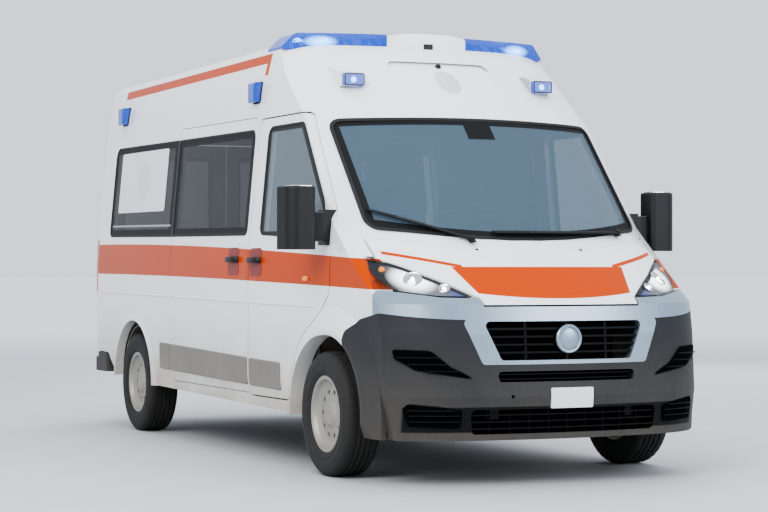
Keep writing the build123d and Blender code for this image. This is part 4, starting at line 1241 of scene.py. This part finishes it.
# Wiper arms with their caps, from (y, height) of the pivot towards the tip, and the washers on the bonnet
WIPERS = (((0.640, 1.334), (-0.190, 1.334)), ((-0.330, 1.292), (-0.815, 1.455)))
ARM_PROFILE = ((-0.007, -0.003), (0.007, -0.003), (0.005, 0.003), (-0.005, 0.003))
ARM_CAP = ((0, 0.020), (0.012, 0.018), (0.016, 0.008), (0.016, -0.01))
WASHER = ((0, 0.012), (0.007, 0.011), (0.010, 0.004), (0.010, -0.004))
for number, (pivot, tip) in enumerate(WIPERS):
    pivot, tip = Vector(pivot), Vector(tip)
    path = [front_place(*pivot.lerp(tip, i / 16), 0.034) for i in range(13)]
    cap = turned(ARM_CAP, path[0] - Vector((0.012, 0, 0)), (0.5, 0, 0.85), 24)
    piece(f"wiper_arm_{number}", "black_plastic", joined(swept(path, ARM_PROFILE, up=(1, 0, 0)), cap))
washers = [turned(WASHER, top_place(0.455, y, 0.0), (0.1, 0, 1), 16) for y in (-0.32, 0.32)]
piece("washer_nozzles", "black_plastic", joined(*washers), "bonnet")

# Rear doors: hinges and handle, step treads, high brake lamp
HINGE_PIN = ((0, 0.042), (0.009, 0.040), (0.009, -0.040), (0, -0.042))
for side, side_name in SIDES:
    hinges = []
    for z in (0.72, 1.43, 1.90):
        strap = plate(rounded_outline(side * 0.885, z, 0.084, 0.050, 0.012), 0.009, rear_place, 0.003)
        pin_spot = (rear_x(side * 0.90, z) - 0.010, side * 0.922, z)
        hinges.extend((strap, turned(HINGE_PIN, pin_spot, (0, 0, 1), 16)))
    piece(f"rear_hinges_{side_name}", "black_plastic", joined(*hinges), f"rear_door_{side_name}")
handle = plate(rounded_outline(-0.10, 1.10, 0.11, 0.20, 0.03), 0.014, rear_place, 0.006)
REAR_GRIP = ((1.03, 0.012), (1.05, 0.034), (1.15, 0.034), (1.17, 0.012))
grip = tube([rear_place(-0.10, z, out) for z, out in REAR_GRIP], 0.010, 8, up=(0, 1, 0))
piece("rear_handle", "black_plastic", joined(handle, grip), "rear_door_right")
spans = [0.18 * i - 0.90 for i in range(11)]
treads = [box((5.395, y - 0.055, 0.4225), (5.36, y + 0.055, 0.428), 0.002) for y in spans]
piece("step_treads", "rubber", joined(*treads))
back = at(rear_x(0, 2.25))
piece("high_brake_lamp", "red_lamp", box((back + 0.014, -0.14, 2.235), (back - 0.006, 0.14, 2.262), 0.005))

# Tyres with grooves, sipes and ribbed sidewalls in place of the plain ones: (radius, distance outwards)
TREAD_STEPS = 120
SIDEWALL = [
    (0.204, 0.084), (0.212, 0.094), (0.224, 0.100), (0.236, 0.1035), (0.240, 0.1055), (0.244, 0.1045),
    (0.275, 0.1070), (0.279, 0.1080), (0.283, 0.1068), (0.306, 0.1040), (0.322, 0.0985),
]
TREAD = [
    (0.333, 0.090), (0.3395, 0.078), (0.3405, 0.066), (0.3405, 0.050), (0.3325, 0.048), (0.3325, 0.041),
    (0.341, 0.039), (0.341, 0.021), (0.3325, 0.019), (0.3325, 0.012), (0.341, 0.010),
]
SIPES = ((0, 3), (1, 3), (2, 3), (3, 3), (6, 5), (7, 5))
SIPE_DEPTH = 0.006


def tyre_shape(centre):
    """Tyre around a centre, turned about the Y axis, with sipes at every third or fifth step of its tread."""
    half = SIDEWALL + TREAD
    profile = half + [(r, -a) for r, a in reversed(half)]
    points, faces = turned(profile, (0, 0, 0), (0, 1, 0), TREAD_STEPS)
    size = len(profile)
    spacing = {len(SIDEWALL) + i: every for i, every in SIPES}
    for index, point_on in enumerate(points):
        step, place_in = divmod(index, size)
        near = min(place_in, size - 1 - place_in)
        if near in spacing and step % spacing[near] == 0:
            length = math.hypot(point_on.x, point_on.z)
            point_on.x *= (length - SIPE_DEPTH) / length
            point_on.z *= (length - SIPE_DEPTH) / length
    return [p + Vector(centre) for p in points], faces


WHEEL_RINGS = (
    ((0.196, 0.080), (0.204, 0.0895), (0.209, 0.0900), (0.211, 0.084), (0.205, 0.080)),
    ((0.062, 0.036), (0.066, 0.0385), (0.072, 0.0385), (0.075, 0.0345)),
    ((0.148, 0.036), (0.152, 0.041), (0.160, 0.040), (0.170, 0.030), (0.174, 0.020)),
)
HUB_CAP = ((0, 0.062), (0.030, 0.060), (0.045, 0.054), (0.052, 0.046), (0.052, 0.030))
BOLT_HEAD = ((0, 0.016), (0.006, 0.0155), (0.0105, 0.012), (0.0115, 0.0), (0.0115, -0.004))
BOLTS = 5
BOLT_RING = (0.095, 0.036)
VALVE = ((0, 0.016), (0.004, 0.015), (0.004, 0.004), (0.005, 0.003), (0.005, -0.010))
VALVE_SPOT = (0.186, 0.072)
BRAKE_DISC = (
    (0.106, -0.070), (0.106, -0.052), (0.148, -0.052), (0.150, -0.054),
    (0.150, -0.068), (0.148, -0.070), (0.106, -0.070),
)
for axle_name in ("front", "rear"):
    for side, side_name in SIDES:
        wheel = f"{axle_name}_{side_name}"
        body = f"wheel_{wheel}"
        low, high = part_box(f"tyre_{wheel}")
        centre = (low + high) / 2
        out = Vector((0, side, 0))
        tyre = piece(f"tyre_tread_{wheel}", "tyre_rubber", tyre_shape(centre), body, sharp_deg=40)
        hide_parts(f"tyre_{wheel}")
        rings = [turned(ring, centre, out, 72) for ring in WHEEL_RINGS]
        piece(f"wheel_rings_{wheel}", "wheel_silver", joined(*rings), body)
        piece(f"hub_cap_{wheel}", "silver_paint", turned(HUB_CAP, centre, out, 40), body)
        bolts = []
        for i in range(BOLTS):
            angle = 2 * math.pi * (i + 0.25) / BOLTS
            radius, along = BOLT_RING
            spot = centre + Vector((radius * math.cos(angle), side * along, radius * math.sin(angle)))
            bolts.append(turned(BOLT_HEAD, spot, out, 6))
        piece(f"wheel_bolts_{wheel}", "steel", joined(*bolts), body)
        valve_spot = centre + Vector((VALVE_SPOT[0], side * VALVE_SPOT[1], 0))
        piece(f"valve_{wheel}", "rubber", turned(VALVE, valve_spot, out, 10), body)
        piece(f"brake_disc_{wheel}", "steel", turned(BRAKE_DISC, centre, out, 48), body)

# Coil springs around the front struts: back, y and height of the lower end, radius, height, turns
COIL = (0.948, 0.690, 0.500, 0.056, 0.25, 6)
COIL_STEPS = 24
for side, side_name in SIDES:
    back, y, z, radius, height, turns = COIL
    path = []
    for i in range(turns * COIL_STEPS + 1):
        angle = 2 * math.pi * i / COIL_STEPS
        rise = height * i / (turns * COIL_STEPS)
        path.append(point(back - radius * math.cos(angle), side * y + radius * math.sin(angle), z + rise))
    piece(f"coil_spring_{side_name}", "steel", tube(path, 0.006, 8))


# Seats and stretcher with padded pieces in place of the plain ones
def cushion(one, other, radius, puff, cuts=7, seams=(), lean=0.0, lean_from=0.0):
    """Stuffed box between two corners, bulging on one side, with sewn seams and a lean with height."""
    one, other = point(*one), point(*other)
    middle = (one + other) / 2
    half = [abs(a - b) / 2 for a, b in zip(one, other)]
    puff = Vector(puff)
    axis = max(range(3), key=lambda i: abs(puff[i]))
    others = [i for i in range(3) if i != axis]
    bm = bmesh.new()
    bmesh.ops.create_cube(bm, size=2)
    bmesh.ops.subdivide_edges(bm, edges=bm.edges[:], cuts=cuts, use_grid_fill=True)
    for v in bm.verts:
        unit = v.co.copy()
        spot = Vector([unit[i] * half[i] for i in range(3)])
        core = Vector([max(-half[i] + radius, min(half[i] - radius, spot[i])) for i in range(3)])
        away = spot - core
        if away.length > 0:
            spot = core + away.normalized() * radius
        amount = 0.0
        if unit[axis] * puff[axis] > 0.9 * abs(puff[axis]):
            amount = (1 - unit[others[0]] ** 2) * (1 - unit[others[1]] ** 2)
            for seam in seams:
                amount -= 0.55 * math.exp(-(((unit.y - seam) / 0.07) ** 2))
        spot += puff * amount + middle
        spot.x -= lean * (spot.z - lean_from)
        v.co = spot
    return from_bmesh(bm)


BACK_REST = (0.125, 0.870)


def cab_seat(y_low, y_high, heads):
    """Cushion, back and head rests of a forward-facing seat."""
    seams = (-0.62, 0.62) if len(heads) == 1 else (-0.75, 0.0, 0.75)
    base = ((1.985, y_low + 0.004, 0.765), (1.490, y_high - 0.004, 0.890))
    back = ((2.005, y_low + 0.012, 0.870), (1.895, y_high - 0.012, 1.500))
    parts = [cushion(*base, 0.045, (0, 0, 0.016), 11, seams)]
    parts.append(cushion(*back, 0.045, (0.012, 0, 0), 11, seams, *BACK_REST))
    for y in heads:
        head = ((2.008, y - 0.125, 1.520), (1.935, y + 0.125, 1.680))
        parts.append(cushion(*head, 0.032, (0.008, 0, 0), 7, (), *BACK_REST))
    return joined(*parts)


def seat_frame(y_low, y_high, heads):
    """Box under a seat, its side covers and the posts of its head rests."""
    parts = [box((1.955, y_low + 0.045, 0.512), (1.565, y_high - 0.045, 0.768), 0.015)]
    for y in (y_low + 0.010, y_high - 0.034):
        parts.append(box((1.96, y, 0.70), (1.62, y + 0.024, 0.775), 0.008))
    for y in heads:
        for d in (-0.05, 0.05):
            path = [point(2.0525, y + d, 1.47), point(2.0605, y + d, 1.54)]
            parts.append(tube(path, 0.006, 8, up=(1, 0, 0)))
    return joined(*parts)


SEATS = ((0.210, 0.670, (0.44,)), (-0.780, -0.020, (-0.60, -0.20)))
REAR_FACING_SEAT = (-0.230, 0.230, (0.0,))
about_face = Matrix.Translation((at(2.103) + at(2.156), 0, 0)) @ Matrix.Scale(-1, 4, Vector((1, 0, 0)))


def all_seats(build):
    """What a function builds for both cab seats and for the one that faces rearwards behind the bulkhead."""
    return joined(*[build(*seat) for seat in SEATS], transformed(build(*REAR_FACING_SEAT), about_face))


seat_pads = piece("seat_pads", "seat_fabric", all_seats(cab_seat), sharp_deg=60)
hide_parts("seats")
piece("seat_frames", "black_plastic", all_seats(seat_frame))


def raised(shape, slope, from_back):
    """A shape that rises forwards from a distance back."""
    points, faces = shape
    return [Vector((p.x, p.y, p.z + slope * (p.x - at(from_back)))) for p in points], faces


y_low, y_high = -0.325, 0.205
seat = cushion((5.135, y_low, 0.822), (3.870, y_high, 0.895), 0.030, (0, 0, 0.010), 13)
hips = cushion((3.860, y_low, 0.822), (3.560, y_high, 0.900), 0.030, (0, 0, 0.006), 9)
rest = cushion((3.850, y_low, 0.850), (3.215, y_high, 0.915), 0.028, (0, 0, 0.008), 11)
rest = raised(rest, 0.29 / 0.64, 3.850)
pillow = raised(cushion((3.50, -0.20, 1.030), (3.27, 0.08, 1.085), 0.024, (0, 0, 0.010)), 0.16, 3.50)
mattress = piece("stretcher_pads", "mattress", joined(seat, hips, rest, pillow), sharp_deg=60)
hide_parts("stretcher")

RAILS_Y = (-0.338, 0.218)
LEGS = (3.53, 4.89)
bars = []
for y in RAILS_Y:
    bars.append(tube([point(b, y, 0.806) for b in (3.262, 3.9, 4.5, 5.138)], 0.013))
for b in (3.262, 3.86, 4.45, 5.135):
    bars.append(tube([point(b, y, 0.806) for y in RAILS_Y], 0.012))
for y in (-0.31, 0.19):
    bars.append(tube([point(LEGS[0], y, 0.565), point(LEGS[1], y, 0.800)], 0.012, 8))
    bars.append(tube([point(LEGS[1], y + 0.026, 0.565), point(LEGS[0], y + 0.026, 0.800)], 0.012, 8))
for b in LEGS:
    bars.append(tube([point(b, y, 0.565) for y in (-0.31, 0.216)], 0.011, 8))
piece("stretcher_frame", "steel", joined(*bars))
CASTER = (
    (0.012, -0.012), (0.046, -0.012), (0.051, -0.006), (0.051, 0.006),
    (0.046, 0.012), (0.012, 0.012), (0.012, -0.012),
)
casters = [turned(CASTER, point(b, y, 0.563), (0, 1, 0), 28) for b in LEGS for y in (-0.318, 0.198)]
piece("stretcher_wheels", "rubber", joined(*casters))
STRAP = ((-0.330, 0.83), (-0.320, 0.90), (-0.06, 0.912), (0.200, 0.90), (0.210, 0.83))
straps = []
for b in (4.15, 4.75):
    straps.append(swept([point(b, y, z) for y, z in STRAP], flat_profile(0.022, 0.0015), up=(0, 0.01, 1)))
piece("stretcher_straps", "black_plastic", joined(*straps))

# Cabinets: doors with pulls in three rows, and a worktop
fronts, pulls = [], []
for i in range(5):
    b = 2.93 + 0.452 * i
    for low, high in ((0.93, 1.27), (0.56, 0.915)):
        fronts.append(box((b + 0.436, 0.640, low), (b, 0.654, high)))
    for z in (0.885, 1.24):
        pulls.append(box((b + 0.28, 0.628, z - 0.010), (b + 0.16, 0.642, z + 0.004), 0.004))
for i in range(6):
    b = 2.23 + 0.492 * i
    fronts.append(box((b + 0.476, 0.550, 2.09), (b, 0.564, 2.355)))
    pulls.append(box((b + 0.30, 0.540, 2.100), (b + 0.18, 0.553, 2.114), 0.004))
piece("cabinet_doors", "interior_white", joined(*fronts))
piece("cabinet_pulls", "grey_plastic", joined(*pulls))
piece("cabinet_top", "grey_plastic", box((5.19, 0.632, 1.285), (2.90, 0.93, 1.306)))

# Cab: instruments, panels, screen, glove box, gear lever, steering wheel's pad and grips, stalks, visors
DIAL_FACE = ((0, 0.004), (0.020, 0.004), (0.050, 0.003), (0.050, -0.01))
DIAL_RING = ((0.050, 0.002), (0.053, 0.009), (0.057, 0.008), (0.059, -0.008))
DIAL_AXIS = (-0.97, 0, 0.24)
hood = cushion((1.185, 0.26, 1.225), (1.00, 0.62, 1.300), 0.030, (0, 0, 0.004))
piece("instrument_hood", "dashboard", hood, sharp_deg=60)
dial_spots = [point(1.1905, y, 1.262) for y in (0.365, 0.515)]
dials = [[turned(profile, spot, DIAL_AXIS, 36) for spot in dial_spots] for profile in (DIAL_FACE, DIAL_RING)]
piece("instrument_dials", "screen_glass", joined(*dials[0]))
piece("instrument_rings", "chrome", joined(*dials[1]))
panels = [box((1.205, -0.10, 1.075), (1.150, 0.14, 1.205), 0.012)]
for y in (-0.72, -0.52, 0.72):
    panels.append(box((1.205, y - 0.055, 1.120), (1.165, y + 0.055, 1.180), 0.010))
piece("dash_panels", "black_plastic", joined(*panels))
screen = box((1.209, -0.075, 1.100), (1.200, 0.115, 1.190), 0.003)
piece("dash_screen", "screen_glass", screen)
piece("glove_box", "dashboard", box((1.188, -0.84, 0.895), (1.130, -0.30, 1.055), 0.014))
LEVER = ((1.13, 0.02, 0.93), (1.20, 0.02, 1.01), (1.215, 0.02, 1.075))
KNOB = ((0, 0.028), (0.018, 0.022), (0.023, 0.004), (0.016, -0.018), (0.008, -0.024))
lever = tube(smooth_path([point(*spot) for spot in LEVER]), 0.009, up=(0, 1, 0))
knob = turned(KNOB, point(1.216, 0.02, 1.09), (-0.2, 0, 1), 20)
piece("gear_lever", "black_plastic", joined(lever, knob))

WHEEL_SPOT = point(1.370, 0.440, 1.130)
COLUMN_LEAN = math.radians(40)
COLUMN_AXIS = Vector((-math.cos(COLUMN_LEAN), 0, math.sin(COLUMN_LEAN)))
WHEEL_RADIUS = 0.1885
HUB_PAD = ((0, 0.014), (0.030, 0.013), (0.055, 0.008), (0.066, -0.002), (0.066, -0.020))
pad = turned(HUB_PAD, WHEEL_SPOT - COLUMN_AXIS * 0.004, COLUMN_AXIS, 40)
piece("steering_pad", "black_plastic", pad, "steering_wheel")
grip_profile = [(WHEEL_RADIUS + u, v) for u, v in ring_profile(0.0155)]
grip_profile.append(grip_profile[0])
grips = [turned(grip_profile, WHEEL_SPOT, COLUMN_AXIS, 20, start, 140) for start in (20, 200)]
piece("steering_grips", "seat_fabric", joined(*grips), "steering_wheel")
stalks, visors = [], []
for side in (RIGHT, LEFT):
    base = WHEEL_SPOT - COLUMN_AXIS * 0.075
    tip = base + Vector((-0.02, side * 0.155, 0.03))
    stalks.append(tube([base + Vector((0, side * 0.02, 0)), (base + tip) / 2, tip], 0.0065, 8))
    visor = ((1.475, side * 0.18, 1.972), (1.335, side * 0.66, 1.992))
    visors.append(cushion(*visor, 0.009, (0, 0, -0.002), 5))
piece("column_stalks", "black_plastic", joined(*stalks))
piece("sun_visors", "interior_white", joined(*visors), sharp_deg=60)


# Cab door linings with arm rests, pulls and pockets
CAB_LINING = ((1.20, 0.62, 0.05), (1.20, 1.24, 0.08), (1.96, 1.24, 0.05), (1.96, 0.62, 0.05))
RELEASE = ((0, 0.010), (0.024, 0.008), (0.030, 0.0), (0.030, -0.01))
INSIDE_Y = 0.6
PLAIN_LINING_Y = 0.93
INSIDE_X = -2.2


def cab_lining_place(side, name):
    """Placing function for the inside of a cab door: distance back, height, distance inwards."""
    tree = skin_tree((name,))

    def place(u, v, out):
        hit = tree.ray_cast(point(u, side * INSIDE_Y, v), Vector((0, side, 0)))
        inner_y = INSIDE_Y + hit[3] if hit[0] is not None else PLAIN_LINING_Y
        return point(u, side * (inner_y - out), v)

    return place


for side, side_name in SIDES:
    door = f"cab_door_{side_name}"
    place = cab_lining_place(side, door)
    piece(f"door_lining_{side_name}", "dashboard", plate(CAB_LINING, 0.010, place, 0.004), door)
    rest_y = place(1.60, 0.98, 0).y
    arm = ((1.88, rest_y - side * 0.052, 0.955), (1.40, rest_y + side * 0.006, 1.005))
    arm = cushion(*arm, 0.020, (0, 0, 0.004))
    piece(f"arm_rest_{side_name}", "seat_fabric", arm, door, sharp_deg=60)
    pocket_y = place(1.60, 0.74, 0).y
    pocket = box((1.90, pocket_y - side * 0.045, 0.66), (1.30, pocket_y + side * 0.006, 0.82), 0.018)
    piece(f"door_pocket_{side_name}", "black_plastic", pocket, door)
    release = turned(RELEASE, place(1.33, 1.10, 0.012), (0, -side, 0), 24)
    piece(f"door_release_{side_name}", "chrome", release, door)

# Rear door linings with a grab handle
GRAB = ((0.25, 0.004), (0.27, 0.040), (0.41, 0.040), (0.43, 0.004))


def rear_lining_place(name):
    """Placing function for the inside of a rear door: y, height, distance inwards."""
    tree = skin_tree((name,))

    def place(u, v, out):
        hit = tree.ray_cast(Vector((INSIDE_X, u, v)), Vector((-1, 0, 0)))
        return Vector((INSIDE_X - hit[3] + out, u, v))

    return place


for side, side_name in SIDES:
    body = f"rear_door_{side_name}"
    place = rear_lining_place(body)
    lining = plate(rounded_outline(side * 0.455, 0.900, 0.66, 0.70, 0.06), 0.008, place)
    piece(f"rear_lining_{side_name}", "interior_white", lining, body)
    grab = tube(smooth_path([place(side * y, 1.10, out) for y, out in GRAB]), 0.009)
    piece(f"rear_grab_{side_name}", "black_plastic", grab, body)

# Engine bay: cover with ribs and filler cap, battery, coolant bottle, hoses, and the radiator's fins
cover = [box((0.79, -0.25, 0.894), (0.36, 0.25, 0.942), 0.018, 3)]
for y in [0.072 * i - 0.18 for i in range(6)]:
    cover.append(box((0.76, y - 0.012, 0.938), (0.40, y + 0.012, 0.950), 0.004))
piece("engine_cover", "black_plastic", joined(*cover))
OIL_CAP = ((0, 0.020), (0.022, 0.019), (0.028, 0.012), (0.030, 0.0), (0.030, -0.014))
POLE = ((0, 0.018), (0.009, 0.018), (0.010, -0.004))
BOTTLE_CAP = ((0, 0.022), (0.024, 0.020), (0.026, 0.0))
UP = (0, 0, 1)
piece("oil_cap", "grey_plastic", turned(OIL_CAP, point(0.42, -0.30, 0.912), UP, 24))
case = box((0.80, 0.376, 0.640), (0.50, 0.545, 0.835), 0.010)
lid = box((0.79, 0.385, 0.832), (0.51, 0.536, 0.845), 0.005)
piece("battery", "black_plastic", joined(case, lid))
poles = [turned(POLE, point(b, 0.46, 0.845), UP, 16) for b in (0.56, 0.74)]
piece("battery_poles", "steel", joined(*poles))
bottle = box((0.60, -0.50, 0.66), (0.42, -0.376, 0.86), 0.025, 3)
bottle_cap = turned(BOTTLE_CAP, point(0.51, -0.438, 0.858), UP, 20)
piece("coolant_bottle", "interior_white", joined(bottle, bottle_cap))
hoses = []
for y, z in ((0.25, 0.80), (-0.25, 0.52)):
    path = [point(0.252, y, z), point(0.275, y, z), point(0.31, y * 0.9, z)]
    hoses.append(tube(smooth_path(path), 0.022, 12))
piece("radiator_hoses", "rubber", joined(*hoses))
levels = [0.385 + 0.0192 * i for i in range(24)]
fins = [box((0.2165, -0.36, z - 0.003), (0.211, 0.36, z + 0.003), 0.0012, 1) for z in levels]
piece("radiator_fins", "grille_black", joined(*fins))

# Ceiling of the patient space: rail with its holders, and light strips
rail = [tube([point(b, -0.10, 2.315) for b in (2.6, 3.4, 4.2, 5.0)], 0.014, 12)]
for b in (2.7, 3.8, 4.9):
    rail.append(tube([point(b, -0.10, z) for z in (2.315, 2.36, 2.43)], 0.009, 8, up=(1, 0, 0)))
piece("ceiling_rail", "steel", joined(*rail))
strips = [box((5.0, y - 0.045, 2.415), (2.5, y + 0.045, 2.436), 0.008) for y in (-0.36, 0.30)]
piece("ceiling_lights", "ceiling_light", joined(*strips))

# Floor, light and camera
REACH = 300
BACKDROP = (0.80, 0.86, 0.95, 1)
BACKDROP_STRENGTH = 1.15
FADE_START = 7.0
FADE_LENGTH = 16.0


def fading(graph, base, rough):
    """Far floor in the tone of the background."""
    length = graph.node("VectorMath", operation="LENGTH")
    graph.put(graph.place(), length.inputs[0])
    far = ((Value(graph, length.outputs["Value"]) - FADE_START) / FADE_LENGTH).clamped()
    graph.shade("Emission Color", BACKDROP)
    graph.shade("Emission Strength", far * BACKDROP_STRENGTH)
    return graph.mix(far, base, (0, 0, 0, 1)), graph.blend(far, rough, 1.0)


material("studio_floor", (0.50, 0.51, 0.52), 0.7, fading)
corners = [(-REACH, -REACH, 0), (REACH, -REACH, 0), (REACH, REACH, 0), (-REACH, REACH, 0)]
floor_mesh = bpy.data.meshes.new("floor")
floor_mesh.from_pydata(corners, [], [[0, 1, 2, 3]])
floor_mesh.materials.append(MATERIALS["studio_floor"])
floor_mesh.materials[0].cycles.emission_sampling = "NONE"
floor = bpy.data.objects.new("floor", floor_mesh)
scene = bpy.context.scene
scene.collection.objects.link(floor)

world = bpy.data.worlds.new("studio")
world.use_nodes = True
world.node_tree.nodes["Background"].inputs["Color"].default_value = BACKDROP
world.node_tree.nodes["Background"].inputs["Strength"].default_value = BACKDROP_STRENGTH
scene.world = world


def placed(name, data, spot, target):
    """A light or camera at a spot that looks at a target."""
    made = bpy.data.objects.new(name, data)
    made.location = spot
    made.rotation_mode = "QUATERNION"
    made.rotation_quaternion = (Vector(target) - Vector(spot)).to_track_quat("-Z", "Y")
    scene.collection.objects.link(made)
    return made


LIGHTS = (
    ("key", (7.0, -7.5, 7.0), 6.0, 900, (1.0, 0.98, 0.95)),
    ("front_fill", (10.0, 4.5, 4.5), 5.0, 380, (0.93, 0.97, 1.0)),
    ("rear_left", (-8.0, 7.0, 6.0), 6.0, 520, (1.0, 1.0, 1.0)),
    ("top", (-0.5, 0.0, 8.0), 7.0, 420, (1.0, 1.0, 1.0)),
)
MIRRORED_LIGHTS = ("key", "front_fill")
for light_name, spot, size, power, tint in LIGHTS:
    data = bpy.data.lights.new(light_name, "AREA")
    data.size = size
    data.energy = power
    data.color = tint
    lamp = placed(light_name, data, spot, (0, 0, 1.1))
    lamp.visible_glossy = light_name in MIRRORED_LIGHTS

camera_data = bpy.data.cameras.new("camera")
camera_data.lens = 94
camera_data.sensor_width = 36
scene.camera = placed("camera", camera_data, (11.868, -5.211, 1.126), (0.1, 0.105, 1.216))
scene.view_settings.view_transform = "AgX"
scene.view_settings.look = "AgX - Medium High Contrast"
